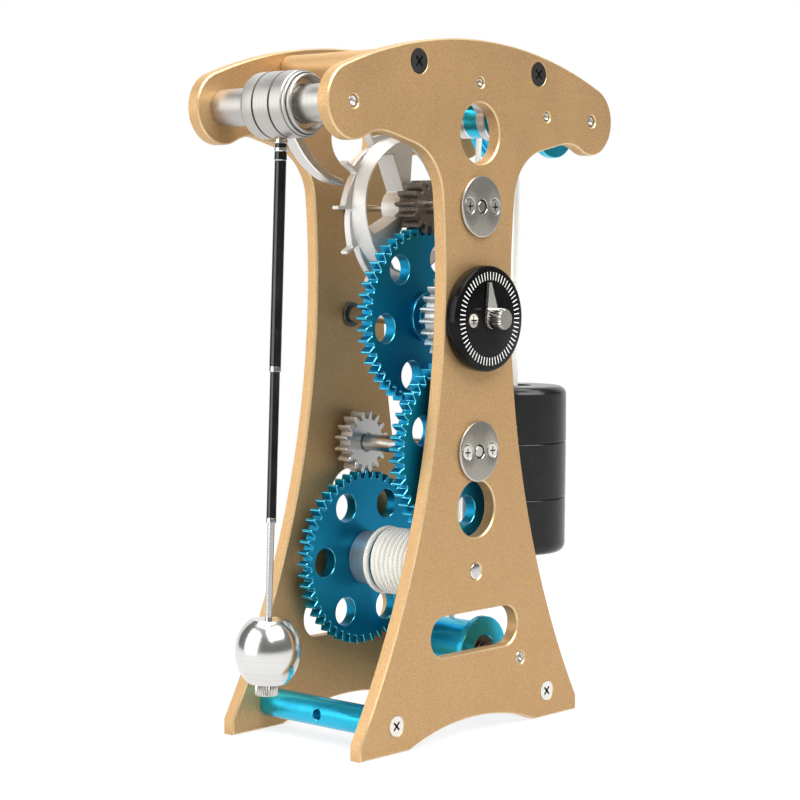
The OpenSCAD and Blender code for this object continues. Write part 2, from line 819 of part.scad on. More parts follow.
// The turns of cord: 24 rings a turn, a straight start and an end that bends into the flange
wind_sides = 6;
wind_rings = 24;
wind_r = 0.84;
function wind_centre(i) = let (a = -360 * i / wind_rings)
    [turn_r * cos(a), wind_y - turn_pitch * i / wind_rings, great_z - turn_r * sin(a)];
function wind_out(i) = let (a = -360 * i / wind_rings) [cos(a), 0, -sin(a)];
wind_last = turns * wind_rings + wind_rings / 2;
wind_path = [for (i = [0:wind_last])
    tube_ring(wind_centre(i), wind_out(i), [0, 1, 0], wind_r, wind_sides, 0)];
wind_start = [for (p = wind_path[0]) p - [0, 0, 2 * cord_r]];
wind_finish = [for (b = [30, 60, 90])
    tube_ring(wind_centre(wind_last) - wind_bend * [0, 1 - cos(b), sin(b)], [-1, 0, 0],
        [0, cos(b), -sin(b)], wind_r, wind_sides, 0)];
wind_end = [for (p = wind_finish[2]) p - [0, 2 * cord_r, 0]];

// Least gap between a turn and the next one, between the points of their rings
wind_gap = min([for (i = [0:wind_rings - 1]) for (p = wind_path[i])
    for (q = wind_path[i + wind_rings]) norm(p - q)]);

module cord_winding() {
    echo(least_gap_between_turns = wind_gap);
    color(white) tube(concat([wind_start], wind_path, wind_finish, [wind_end]));
}

module second_arbor() {
    color(silver) arbor(second_z, [
        [journal_r, front_out - cap_t + 0.2], [journal_r, front_in + bearing_lip + shoulder_gap],
        [second_arbor_r, front_in + bearing_lip + shoulder_gap],
        [second_arbor_r, rear_in - bearing_lip - shoulder_gap],
        [journal_r, rear_in - bearing_lip - shoulder_gap], [journal_r, rear_out - 0.3]]);
}

module second_pinion() {
    color(silver) difference() {
        pinion(second_z, second_leaves, second_pinion_y, second_pinion_w, second_arbor_r + fit,
            gap_down(second_leaves));
        bar_y(0, second_z, second_arbor_r + 0.4, second_pinion_y - 1,
            second_pinion_y + wheel_bore_face);
    }
}

module second_wheel() {
    color(teal) toothed_wheel(second_z, second_teeth, second_y, wheel_w, second_arbor_r + fit,
        39, tooth_up(second_teeth));
}

module third_arbor() {
    color(silver) arbor(third_z, [
        [journal_r, thumb_front + 0.4], [journal_r, front_in + bearing_lip + shoulder_gap],
        [third_arbor_r, front_in + bearing_lip + shoulder_gap],
        [third_arbor_r, rear_in - bearing_lip - shoulder_gap],
        [journal_r, rear_in - bearing_lip - shoulder_gap], [journal_r, rear_out - 0.3]]);
}

module third_pinion() {
    color(silver) pinion(third_z, third_leaves, third_pinion_y, third_pinion_w,
        third_arbor_r + fit, gap_down(third_leaves));
}

// A sleeve with a low disc that carries the third wheel
module third_hub() {
    color(teal) difference() {
        union() {
            bar_y(0, third_z, third_arbor_r + 1.4, third_pinion_y + third_pinion_w, third_y);
            bar_y(0, third_z, third_disc_r, third_y - third_disc_w, third_y);
        }
        bar_y(0, third_z, third_arbor_r + fit, third_pinion_y, third_y + 1);
    }
}

module third_wheel() {
    color(teal) toothed_wheel(third_z, third_teeth, third_y, wheel_w, third_arbor_r + fit, 10,
        tooth_up(third_teeth));
}

// The tapered hand on its boss, turned a little to the left
module hand() {
    color(silver) translate([0, 0, third_z]) difference() {
        slab_y(hand_y - hand_t, hand_y) rotate(hand_turn) union() {
            circle(r = hand_boss_r, $fn = 48);
            polygon([[-hand_boss_r * 0.95, 0.3], [hand_boss_r * 0.95, 0.3], [0.5, hand_l],
                [-0.5, hand_l]]);
        }
        bar_y(0, 0, journal_r + fit, hand_y - hand_t - 1, hand_y + 1);
    }
}

// Knurled nut that clamps the hand
module thumb_nut() {
    color(silver) translate([0, 0, third_z]) difference() {
        slab_y(thumb_front, hand_y - hand_t)
            polygon([for (i = [0:2 * knurls - 1])
                (i % 2 == 0 ? thumb_r : thumb_r - 0.25)
                    * [cos(180 * i / knurls), sin(180 * i / knurls)]]);
        bar_y(0, 0, journal_r + fit, thumb_front - 1, hand_y + 1);
    }
}

module escape_arbor() {
    color(silver) arbor(escape_z, [
        [journal_r, front_out - cap_t + 0.2], [journal_r, front_in + bearing_lip + shoulder_gap],
        [escape_shaft_r, front_in + bearing_lip + shoulder_gap],
        [escape_shaft_r, escape_y + escape_w], [escape_arbor_r, escape_y + escape_w],
        [escape_arbor_r, rear_out - 0.3]]);
}

module escape_pinion() {
    color(dark_steel) pinion(escape_z, escape_leaves, escape_pinion_y, escape_pinion_w,
        escape_shaft_r + fit, gap_down(escape_leaves));
}

// Rim of the escape wheel: thin teeth, a ramp up to each one and a step in behind it
escape_step = 360 / escape_teeth;
escape_root = escape_tip_r - escape_tooth_l;
escape_first = 151.1;
tooth_half = 0.5;
ramp_rise = 2.3;
bevel_in = 0.5;
function tooth_edge(r, side) = side * atan2(tooth_half, r);
function escape_tooth(a) = [
    for (p = concat(
        [[escape_root, a + tooth_edge(escape_root, -1)],
            [escape_tip_r, a + tooth_edge(escape_tip_r, -1)],
            [escape_tip_r, a + tooth_edge(escape_tip_r, 1)],
            [escape_root - ramp_rise, a + tooth_edge(escape_root - ramp_rise, 1)]],
        [for (i = [1:4]) [escape_root - ramp_rise + ramp_rise * i / 5,
            a + escape_step * i / 5]]))
    p[0] * [cos(p[1]), sin(p[1])]];

// A window between two spokes, with its outer arc and cut corners
function escape_window(a) = concat(
    [for (i = [0:8]) escape_rim_in * [cos(a - 33 + 70 * i / 8), sin(a - 33 + 70 * i / 8)]],
    [(escape_rim_in - 1.4) * [cos(a + 45), sin(a + 45)],
        escape_hub_r * [cos(a + 49), sin(a + 49)]],
    [for (i = [1:3]) escape_hub_r * [cos(a + 49 - 89 * i / 4), sin(a + 49 - 89 * i / 4)]],
    [escape_hub_r * [cos(a - 40), sin(a - 40)],
        (escape_rim_in - 1.7) * [cos(a - 44.6), sin(a - 44.6)]]);

module escape_wheel() {
    color(silver) translate([0, 0, escape_z]) difference() {
        slab_y(escape_y, escape_y + escape_w) difference() {
            polygon([for (k = [0:escape_teeth - 1])
                each escape_tooth(escape_first + escape_step * k)]);
            for (k = [0:2]) polygon(escape_window(162 + 120 * k));
        }
        bar_y(0, 0, escape_shaft_r + fit, escape_y - 1, escape_y + escape_w + 1);
        translate([0, escape_y + escape_w - escape_edge_w, 0]) rotate([-90, 0, 0])
            rotate_extrude($fn = 96)
                polygon([[escape_root - ramp_rise, 0], [escape_tip_r + 1, 0],
                    [escape_tip_r + 1, escape_edge_w - escape_w - 1],
                    [escape_rim_in + bevel_in, escape_edge_w - escape_w - 1],
                    [escape_rim_in + bevel_in, escape_edge_w - escape_w]]);
    }
}

// A cord roller with a flange and a bearing seat at each end
module roller(x, z) {
    difference() {
        union() {
            bar_y(x, z, roller_r, roller_front, roller_back);
            bar_y(x, z, roller_flange_r, roller_front, roller_front + roller_flange_w);
            bar_y(x, z, roller_flange_r, roller_back - roller_flange_w, roller_back);
        }
        bar_y(x, z, roller_bearing_r - 1, roller_front - 1, roller_back + 1);
        bar_y(x, z, roller_bearing_r + fit, roller_front - 1, roller_front + roller_bearing_w);
        bar_y(x, z, roller_bearing_r + fit, roller_back - roller_bearing_w, roller_back + 1);
    }
}

module roller_bearings(x, z) {
    for (y = [roller_front + 0.2, roller_back - roller_bearing_w])
        translate([x, y, z]) rotate([-90, 0, 0]) rotate_extrude($fn = 48)
            polygon([[axle_r + run, 0], [axle_r + 0.9, 0], [axle_r + 1, 0.3],
                [roller_bearing_r - 0.8, 0.3], [roller_bearing_r - 0.7, 0],
                [roller_bearing_r, 0], [roller_bearing_r, bearing_body],
                [roller_bearing_r - 0.7, bearing_body],
                [roller_bearing_r - 0.8, bearing_body - 0.3], [axle_r + 1, bearing_body - 0.3],
                [axle_r + 0.9, bearing_body], [axle_r + run, bearing_body]]);
}

module guide_roller() {
    color(teal) roller(guide_x, guide_z);
}

module guide_bearings() {
    color(dark_steel) roller_bearings(guide_x, guide_z);
}

module arm_roller() {
    color(teal) roller(arm_x, arm_z);
}

module arm_bearings() {
    color(dark_steel) roller_bearings(arm_x, arm_z);
}

// The free run of the cord: long stretches get rings of their own between route points
cord_sides = 8;
run_points = [for (i = [0:len(cord_route) - 1])
    each i == len(cord_route) - 1 ? [cord_route[i]]
        : let (
            a = cord_route[i],
            b = cord_route[i + 1],
            n = max(1, floor(norm(b - a) / cord_step)))
        [for (k = [0:n - 1]) a + (b - a) * k / n]];
function run_along(i) = unit(run_points[min(i + 1, len(run_points) - 1)]
    - run_points[max(i - 1, 0)]);
function run_ring(i) = let (d = run_along(i))
    tube_ring([run_points[i][0], run_y + cord_creep * i / (len(run_points) - 1),
        run_points[i][1]], [d[1], 0, -d[0]], [0, 1, 0], cord_r, cord_sides, 22.5);

module cord_run() {
    color(white) tube([for (i = [0:len(run_points) - 1]) run_ring(i)]);
}

module hanging_cord() {
    cord_low = eye_z + eye_r + eye_wire_r;
    color(white) translate([hang_x, hang_y, cord_low])
        cylinder(h = hang_z - cord_low, r = cord_r, $fn = 16);
}

// The rod through the discs, with a head under the lowest one and a nut on the top one
module weight_rod() {
    color(steel) translate([hang_x, hang_y, weight_z]) {
        translate([0, 0, rod_head_in]) cylinder(h = rod_head_h, r = rod_head_r, $fn = 48);
        translate([0, 0, rod_head_in])
            cylinder(h = rod_top_z - weight_z - rod_head_in, r = weight_rod_r, $fn = 48);
        translate([0, 0, recess_z - weight_z])
            cylinder(h = rod_nut_h, r = rod_head_r - 1, $fn = 48);
    }
}

// The eye that the cord is tied to
module weight_eye() {
    color(steel) translate([hang_x, hang_y, eye_z]) {
        rotate([90, 0, 0]) rotate_extrude($fn = 48) translate([eye_r, 0])
            circle(r = eye_wire_r, $fn = 24);
        translate([0, 0, rod_top_z - eye_z])
            cylinder(h = eye_z - rod_top_z - eye_r, r = eye_wire_r + 0.3, $fn = 32);
    }
}

// A disc of the weight: a profile with a rounding below and one above, turned about its axis
module weight_disc(index, low_round, top_round) {
    outer = concat(
        arc([weight_r - low_round, low_round], low_round, -90, 0, 6),
        arc([weight_r - top_round, disc_h - top_round], top_round, 0, 90, 6));
    sink = index == 0 ? rod_head_in + rod_head_h : 0;
    recess = index == discs - 1 ? eye_recess : 0;
    translate([hang_x, hang_y, weight_z + index * disc_h]) difference() {
        rotate_extrude($fn = 96)
            polygon(concat([[weight_rod_r + fit, disc_h], [weight_rod_r + fit, 0],
                [weight_r - low_round, 0]], outer));
        if (sink > 0)
            translate([0, 0, -1]) cylinder(h = sink + 1, r = rod_head_r + fit, $fn = 48);
        if (recess > 0)
            translate([0, 0, disc_h - recess])
                cylinder(h = recess + 1, r = rod_head_r + fit, $fn = 48);
    }
}

module weight_disc_low() {
    color(black) weight_disc(0, weight_round, seam_round);
}

module weight_disc_mid() {
    color(black) weight_disc(1, seam_round, seam_round);
}

module weight_disc_top() {
    color(black) weight_disc(2, seam_round, weight_round);
}

// What hangs from the pivot: local Z is measured down the leaning rod
module hang_down(s) {
    translate([-arm_x, 0, arm_z]) rotate([0, lean, 0]) translate([0, 0, -s]) children();
}

module pendulum_collar() {
    bore = pivot_bar_r + 0.4;
    seat = collar_bearing_w;
    r = collar_r;
    f = collar_front;
    b = collar_back;
    g = groove_w / 2;
    ring_y = f + collar_lip_l;
    body_y = ring_y + collar_ring_l;
    color(silver) difference() {
        translate([-arm_x, 0, arm_z]) rotate([-90, 0, 0]) rotate_extrude($fn = 96)
            polygon(concat(
                [[bore, f + lip_in + seat], [collar_bearing_r + fit, f + lip_in + seat],
                    [collar_bearing_r + fit, f + 0.3], [collar_bearing_r + 0.3, f],
                    [collar_lip_r - 0.3, f], [collar_lip_r, f + 0.3], [collar_lip_r, ring_y],
                    [collar_ring_r - 0.3, ring_y], [collar_ring_r, ring_y + 0.3],
                    [collar_ring_r, body_y], [r - 0.2, body_y], [r, body_y + 0.2]],
                [for (y = grooves) each [[r, f + y - g], [r - groove_d, f + y],
                    [r, f + y + g]]],
                [[r, b - 1.2], [r - 0.4, b - 0.4], [r - 1.2, b],
                    [collar_bearing_r + fit, b], [collar_bearing_r + fit, b - 0.6 - seat],
                    [bore, b - 0.6 - seat]]));
        hang_down(collar_r + 1) cylinder(h = collar_r + 1 - fitting_top, r = fitting_r + fit,
            $fn = 32);
    }
}

module collar_bearings() {
    color(steel) {
        ring_y(-arm_x, arm_z, collar_bearing_r, pivot_bar_r + run, collar_front + lip_in,
            collar_front + lip_in + collar_bearing_w);
        ring_y(-arm_x, arm_z, collar_bearing_r, pivot_bar_r + run,
            collar_back - 0.6 - collar_bearing_w, collar_back - 0.6);
    }
}

// A curved blade from a to c, drawn towards b, that narrows from w0 to w1
function blade_edge(a, b, c, w0, w1, side) = [for (i = [0:10])
    let (
        t = i / 10,
        d = unit(bezier(a, b, c, t + 0.01) - bezier(a, b, c, t - 0.01)))
    bezier(a, b, c, t) + side * (w0 + (w1 - w0) * t) / 2 * [-d[1], d[0]]];
module blade_shape(a, b, c, w0, w1) {
    upper = blade_edge(a, b, c, w0, w1, 1);
    polygon(concat(blade_edge(a, b, c, w0, w1, -1), [for (i = [10:-1:0]) upper[i]]));
}

module impulse_arm() {
    root = pivot_c + (collar_r - 1) * [cos(-47), sin(-47)];
    bend = root + [6.8, -12];
    color(silver) difference() {
        slab_y(impulse_y, impulse_y + blade_w)
            blade_shape(root, bend, impulse_tip, 3.4, 1.6);
        bar_y(-arm_x, arm_z, collar_r + fit, impulse_y - 1, impulse_y + blade_w + 1);
    }
}

module release_arm() {
    root = pivot_c + (collar_r - 1) * [cos(10), sin(10)];
    bend = [release_tip[0] - 6, arm_z + 0.1];
    color(silver) difference() {
        slab_y(release_y, release_y + release_w) union() {
            blade_shape(root, bend, release_tip, 3.2, 1.8);
            translate(release_tip) circle(r = tip_r, $fn = 32);
        }
        bar_y(-arm_x, arm_z, collar_r + fit, release_y - 1, release_y + release_w + 1);
    }
}

module rod_fitting() {
    color(silver) hang_down(upper_top) difference() {
        union() {
            cylinder(h = fitting_l, r = fitting_r, $fn = 48);
            cylinder(h = 0.8, r = fitting_r + 0.15, $fn = 48);
            translate([0, 0, 3]) cylinder(h = 0.6, r = fitting_r + 0.15, $fn = 48);
        }
        translate([0, 0, -1]) cylinder(h = 1 + rod_in, r = upper_rod_r - 0.4 + fit, $fn = 32);
    }
}

// The telescoping rod in three steps, with a band at each step
module pendulum_rod() {
    color(black) hang_down(0) rotate([180, 0, 0]) rotate_extrude($fn = 48)
        polygon([[0, upper_top - rod_in], [upper_rod_r - 0.4, upper_top - rod_in],
            [upper_rod_r - 0.4, upper_top], [upper_rod_r, upper_top],
            [upper_rod_r, middle_top - 1.4], [upper_rod_r + 0.1, middle_top - 1.4],
            [upper_rod_r + 0.1, middle_top], [middle_rod_r, middle_top],
            [middle_rod_r, lower_top - 1.4], [middle_rod_r + 0.1, lower_top - 1.4],
            [middle_rod_r + 0.1, lower_top], [lower_rod_r, lower_top],
            [lower_rod_r, nut_low - 1.5], [lower_rod_r - 0.3, nut_low - 1.2],
            [0, nut_low - 1.2]]);
}

module bob() {
    flat = asin(min(0.99, bob_h / 2 / (bob_r + bob_long)));
    color(silver) hang_down(bob_top + bob_h / 2) difference() {
        rotate_extrude($fn = 96)
            polygon(concat([[0, bob_h / 2]],
                [for (i = [0:24]) let (a = flat - 2 * flat * i / 24)
                    [bob_r * cos(a), (bob_r + bob_long) * sin(a)]],
                [[0, -bob_h / 2]]));
        cylinder(h = bob_h + 2, r = lower_rod_r + run, center = true, $fn = 32);
    }
}

module rating_nut() {
    color(silver) hang_down(nut_low) difference() {
        rotate_extrude($fn = 64)
            polygon([[0, 0], [nut_r - 0.4, 0], [nut_r, 0.4], [nut_r, nut_h - 0.4],
                [nut_r - 0.4, nut_h - nut_gap], [0, nut_h - nut_gap]]);
        translate([0, 0, -1]) cylinder(h = nut_h + 2, r = lower_rod_r + run, $fn = 32);
    }
}

module detent_hub() {
    color(teal) difference() {
        union() {
            bar_y(detent_x, detent_z, detent_hub_r, front_in + gap, hook_y);
            bar_y(detent_x, detent_z, pin_r + 1.6, hook_y - 1, hook_y + blade_w);
        }
        bar_y(detent_x, detent_z, pin_r + run, front_in - 1, hook_y + blade_w + 1);
    }
}

// The tail that the release arm lifts and the hook above the escape wheel, both on the hub
module detent_levers() {
    pivot = [detent_x, detent_z];
    root = pivot + [-4.2, 2];
    bend = pivot + [-17.2, 15.2];
    tail_end = [-17, detent_tail_z + 1.1];
    hook_top = [-4, detent_tail_z + 1.9];
    color(silver) {
        difference() {
            slab_y(release_y, release_y + release_w) union() {
                translate(pivot) circle(r = detent_hub_r + 1, $fn = 64);
                blade_shape(root, bend, tail_end, 3, 2.1);
            }
            bar_y(detent_x, detent_z, detent_hub_r + fit, release_y - 1,
                release_y + release_w + 1);
        }
        difference() {
            slab_y(hook_y, hook_y + blade_w) union() {
                translate(pivot) circle(r = detent_hub_r, $fn = 64);
                blade_shape(root, bend, hook_top, 3, 2.6);
                polygon([hook_top + [-1.3, 1.2], hook_top + [-1.2, -11], hook_top + [-0.2, -11.9],
                    hook_top + [1.3, -11.9], hook_top + [1.2, 1.2]]);
            }
            bar_y(detent_x, detent_z, pin_r + 1.6 + fit, hook_y - 1, hook_y + blade_w + 1);
        }
    }
}

front_plate();
rear_plate();
top_bar_left();
top_bar_right();
foot_bar_left();
foot_bar_right();
foot_screws();
top_screws();
pendulum_bar();
arm_axle();
guide_axle();
axle_clips();
detent_pin();
stop_pin();
second_bearings();
third_bearings();
escape_bearings();
second_cap();
escape_cap();
cap_screws();
dial();
dial_screw();
great_arbor();
great_wheel();
clutch_ring();
cord_drum();
cord_winding();
second_arbor();
second_pinion();
second_wheel();
third_arbor();
third_pinion();
third_hub();
third_wheel();
hand();
thumb_nut();
escape_arbor();
escape_pinion();
escape_wheel();
guide_roller();
guide_bearings();
arm_roller();
arm_bearings();
cord_run();
hanging_cord();
weight_rod();
weight_eye();
weight_disc_low();
weight_disc_mid();
weight_disc_top();
pendulum_collar();
collar_bearings();
impulse_arm();
release_arm();
rod_fitting();
pendulum_rod();
bob();
rating_nut();
detent_hub();
detent_levers();
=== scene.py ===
# %% [markdown]
# # A weight-driven pendulum clock model
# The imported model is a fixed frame: every solid has its place and its joint already. Each step
# below gives one of those solids a finished surface, or puts a finer piece in its place.
# All sizes are in metres, in the frame of the model: X right, Y from the dial to the back, Z up.

# %% Load the model
import json
import math

import bmesh
import bpy
from mathutils import Matrix, Vector
from mathutils.geometry import tessellate_polygon


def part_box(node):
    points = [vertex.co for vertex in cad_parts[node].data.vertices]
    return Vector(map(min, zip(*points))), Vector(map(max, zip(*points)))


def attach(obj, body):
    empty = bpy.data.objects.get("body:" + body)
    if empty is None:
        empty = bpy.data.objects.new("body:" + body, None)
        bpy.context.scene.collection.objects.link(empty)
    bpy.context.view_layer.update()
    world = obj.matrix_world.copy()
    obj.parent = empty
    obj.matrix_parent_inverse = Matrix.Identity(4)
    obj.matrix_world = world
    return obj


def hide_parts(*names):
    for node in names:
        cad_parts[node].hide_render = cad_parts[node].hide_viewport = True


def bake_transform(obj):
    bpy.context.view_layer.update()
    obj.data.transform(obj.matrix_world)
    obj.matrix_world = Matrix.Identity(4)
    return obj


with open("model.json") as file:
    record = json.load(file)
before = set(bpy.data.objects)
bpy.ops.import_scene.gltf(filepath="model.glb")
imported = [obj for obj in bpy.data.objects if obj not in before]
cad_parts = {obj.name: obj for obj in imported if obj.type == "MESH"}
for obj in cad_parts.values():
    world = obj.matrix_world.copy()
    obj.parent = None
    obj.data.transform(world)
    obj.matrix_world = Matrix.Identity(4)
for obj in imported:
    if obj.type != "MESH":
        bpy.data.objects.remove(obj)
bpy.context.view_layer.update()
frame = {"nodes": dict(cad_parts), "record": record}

MM = 0.001
BODY_OF = {node: body for body, nodes in frame["record"]["behaviour"]["bodies"].items()
           for node in nodes}

# %% [markdown]
# ## The camera
# The photograph was taken from low down at the left of the dial, through a long lens. A camera set
# by eye would leave every piece a little off. So its place, angles and lens were solved from
# screws and corners of the plates, with the half degree by which the real one leaned.

# %% Place the camera
YAW, PITCH, ROLL = (math.radians(a) for a in (48.73, -3.80, 0.44))
EYE = Vector((-457.62, -398.87, 131.87)) * MM
forward = Vector((math.sin(YAW) * math.cos(PITCH), math.cos(YAW) * math.cos(PITCH),
                  math.sin(PITCH)))
level = Vector((math.cos(YAW), -math.sin(YAW), 0))
above = level.cross(forward)
right = math.cos(ROLL) * level + math.sin(ROLL) * above
up = -math.sin(ROLL) * level + math.cos(ROLL) * above
camera_data = bpy.data.cameras.new("camera")
camera_data.sensor_width = 36
camera_data.lens = 96.98
camera_data.clip_start = 0.05
camera_data.clip_end = 20
camera = bpy.data.objects.new("camera", camera_data)
bpy.context.scene.collection.objects.link(camera)
camera.matrix_world = Matrix.Translation(EYE) @ Matrix((right, up, -forward)).transposed().to_4x4()
bpy.context.scene.camera = camera
print("camera at", [round(v, 3) for v in EYE])

# %% [markdown]
# ## Shared surface effects
# A blasted plate, a turned bar and a braided cord differ in their marks more than in their colour.
# The marks could be built again in each material. Here each kind is a node group, made once: it
# puts out masks and a bumped normal, and each material mixes them with values of its own.

# %% Helpers for node trees
VALUE, VECTOR = "NodeSocketFloat", "NodeSocketVector"


def new_group(name, inputs, outputs):
    """A shader group: its tree, the values given to it and the sockets for its results."""
    tree = bpy.data.node_groups.new(name, "ShaderNodeTree")
    for label, kind, default in inputs:
        socket = tree.interface.new_socket(label, in_out="INPUT", socket_type=kind)
        socket.default_value = default
    for label, kind in outputs:
        tree.interface.new_socket(label, in_out="OUTPUT", socket_type=kind)
    return (tree, tree.nodes.new("NodeGroupInput").outputs,
            tree.nodes.new("NodeGroupOutput").inputs)


def node(tree, kind, **values):
    """A node with its properties set; names that are sockets set the socket's value."""
    made = tree.nodes.new(kind)
    for name, value in values.items():
        if hasattr(made, name):
            setattr(made, name, value)
        else:
            made.inputs[name.replace("_", " ")].default_value = value
    return made


def link(tree, source, target):
    """A wire from one node's output to another's input."""
    tree.links.new(source, target)


def math_node(tree, operation, a, b=None):
    """A calculation on one or two numbers, each a value or another node's output."""
    made = node(tree, "ShaderNodeMath", operation=operation)
    for socket, value in zip(made.inputs, (a, b)):
        if isinstance(value, (int, float)):
            socket.default_value = value
        elif value is not None:
            link(tree, value, socket)
    return made.outputs[0]


def spread(tree, value, low, high, start=0.0, end=1.0):
    """A value brought from one range into another."""
    made = node(tree, "ShaderNodeMapRange", From_Min=start, From_Max=end, To_Min=low,
                To_Max=high)
    link(tree, value, made.inputs["Value"])
    return made.outputs[0]


def noise_of_size(tree, size, **values):
    """Noise in the piece's own coordinates, with features of a size in metres."""
    place = node(tree, "ShaderNodeTexCoord")
    made = node(tree, "ShaderNodeTexNoise", **values)
    link(tree, place.outputs["Object"], made.inputs["Vector"])
    link(tree, math_node(tree, "DIVIDE", 1.0, size), made.inputs["Scale"])
    return made.outputs[0]


def bumped(tree, height, depth):
    """A normal that leans as a surface of some height and depth would."""
    made = node(tree, "ShaderNodeBump", Strength=1.0)
    link(tree, height, made.inputs["Height"])
    link(tree, depth, made.inputs["Distance"])
    return made.outputs[0]


print("node helpers ready")

# %% Bead blasting
# Glass beads leave a fine even grain, with a little cloudiness
blast, given, result = new_group(
    "Bead blasting",
    [("Grain size", VALUE, 0.0005), ("Depth", VALUE, 0.00002), ("Cloud size", VALUE, 0.03)],
    [("Grain", VALUE), ("Cloud", VALUE), ("Normal", VECTOR)])
grain = noise_of_size(blast, given["Grain size"], Detail=2.0, Roughness=0.6)
link(blast, grain, result["Grain"])
link(blast, noise_of_size(blast, given["Cloud size"], Detail=3.0, Roughness=0.5), result["Cloud"])
link(blast, bumped(blast, grain, given["Depth"]), result["Normal"])
print("group:", blast.name)

# %% Turning marks
# Rings on walls and on end faces: noise on the distance along the axis and a share of the radius
RADIUS_SHARE = 1.618
turned, given, result = new_group(
    "Turning marks",
    [("Centre", VECTOR, (0, 0, 0)), ("Axis", VECTOR, (0, 1, 0)), ("Ring width", VALUE, 0.0002),
     ("Depth", VALUE, 0.00001)],
    [("Rings", VALUE), ("Normal", VECTOR)])
place = node(turned, "ShaderNodeTexCoord")
offset, along, cross, radius = (
    node(turned, "ShaderNodeVectorMath", operation=kind)
    for kind in ("SUBTRACT", "DOT_PRODUCT", "CROSS_PRODUCT", "LENGTH"))
rings = node(turned, "ShaderNodeTexNoise", noise_dimensions="1D", Scale=1.0, Detail=3.0,
             Roughness=0.7)
link(turned, place.outputs["Object"], offset.inputs[0])
link(turned, given["Centre"], offset.inputs[1])
for part in (along, cross):
    link(turned, offset.outputs[0], part.inputs[0])
    link(turned, given["Axis"], part.inputs[1])
link(turned, cross.outputs[0], radius.inputs[0])
summed = math_node(turned, "ADD", along.outputs["Value"],
                   math_node(turned, "MULTIPLY", radius.outputs["Value"], RADIUS_SHARE))
link(turned, math_node(turned, "DIVIDE", summed, given["Ring width"]), rings.inputs["W"])
link(turned, rings.outputs[0], result["Rings"])
link(turned, bumped(turned, rings.outputs[0], given["Depth"]), result["Normal"])
print("group:", turned.name)

# %% Handling
# Soft smudges, as fingers leave them, as a mask from 0 to 1
handled, given, result = new_group("Handling", [("Size", VALUE, 0.012)], [("Smudge", VALUE)])
smudge = noise_of_size(handled, given["Size"], Detail=4.0, Roughness=0.55, Distortion=0.4)
link(handled, spread(handled, smudge, 0.0, 1.0, start=0.35, end=0.7), result["Smudge"])
print("group:", handled.name)

# %% Braid
# Two sets of strands that cross along a cord, from its own U (along) and V (round); Shade is
# darker where they dip between each other, a painted shade, plus a random tone of the fibres
FUZZ, FIBRES_PER_METRE = 0.7, 9000.0
braid, given, result = new_group("Braid", [("Strands", VALUE, 8.0), ("Depth", VALUE, 0.00006)],
                                 [("Shade", VALUE), ("Normal", VECTOR)])
uv = node(braid, "ShaderNodeUVMap", uv_map="cord")
split = node(braid, "ShaderNodeSeparateXYZ")
link(braid, uv.outputs[0], split.inputs[0])
waves = []
for sign in ("ADD", "SUBTRACT"):
    phase = math_node(braid, sign, split.outputs[0], split.outputs[1])
    turns = math_node(braid, "MULTIPLY", phase, given["Strands"])
    waves.append(math_node(braid, "SINE", math_node(braid, "MULTIPLY", turns, 2 * math.pi)))
place = node(braid, "ShaderNodeTexCoord")
fibre = node(braid, "ShaderNodeTexNoise", Scale=FIBRES_PER_METRE, Detail=2.0)
link(braid, place.outputs["Object"], fibre.inputs["Vector"])
fuzzy = math_node(braid, "ADD", math_node(braid, "MAXIMUM", *waves),
                  math_node(braid, "MULTIPLY", fibre.outputs[0], FUZZ))
link(braid, spread(braid, fuzzy, 0.0, 1.0, start=-0.6, end=1.2), result["Shade"])
link(braid, bumped(braid, fuzzy, given["Depth"]), result["Normal"])
print("group:", braid.name)

# %% [markdown]
# ## Materials
# The plates are gold anodised aluminium, the wheels and rollers teal, the pinions and the collar
# bare, and the weight and the dial are lacquered black. One flat colour for each would look like
# plastic. So every metal varies a little in tone and roughness, and shows how it was made:
# blasted, turned or polished.

# %% Material makers
# A Mix node's colour sockets go by number: its other data types use the same names
MIX_LOW, MIX_HIGH, MIX_RESULT = 6, 7, 2


def srgb(r, g, b):
    """A colour as it looks on screen, from 0 to 255, as a linear one."""
    return tuple((c / 255 / 12.92 if c <= 10 else ((c / 255 + 0.055) / 1.055) ** 2.4)
                 for c in (r, g, b)) + (1.0,)


def blank_material(name, metallic, roughness, **constant):
    """A material, its tree and its shader, with constant values on the shader's sockets."""
    material = bpy.data.materials.new(name)
    material.use_nodes = True
    tree = material.node_tree
    shader = tree.nodes["Principled BSDF"]
    for label, value in dict(Metallic=metallic, Roughness=roughness, **constant).items():
        shader.inputs[label.replace("_", " ")].default_value = value
    return material, tree, shader


def use(tree, group, **values):
    """The results of a shared effect, placed in a material with values of its own."""
    return node(tree, "ShaderNodeGroup", node_tree=group, **values).outputs


def mixed(tree, mask, low, high):
    """A colour between two, by a mask."""
    made = node(tree, "ShaderNodeMix", data_type="RGBA")
    made.inputs[MIX_LOW].default_value = low
    made.inputs[MIX_HIGH].default_value = high
    link(tree, mask, made.inputs[0])
    return made.outputs[MIX_RESULT]


def dress(tree, shader, tone_mask, tones, rough_mask, rough, normal, until=1.0):
    """Wires one mask to the colour, one to the roughness, and a normal, to a shader."""
    link(tree, mixed(tree, tone_mask, *tones), shader.inputs["Base Color"])
    link(tree, spread(tree, rough_mask, *rough, 0.0, until), shader.inputs["Roughness"])
    link(tree, normal, shader.inputs["Normal"])


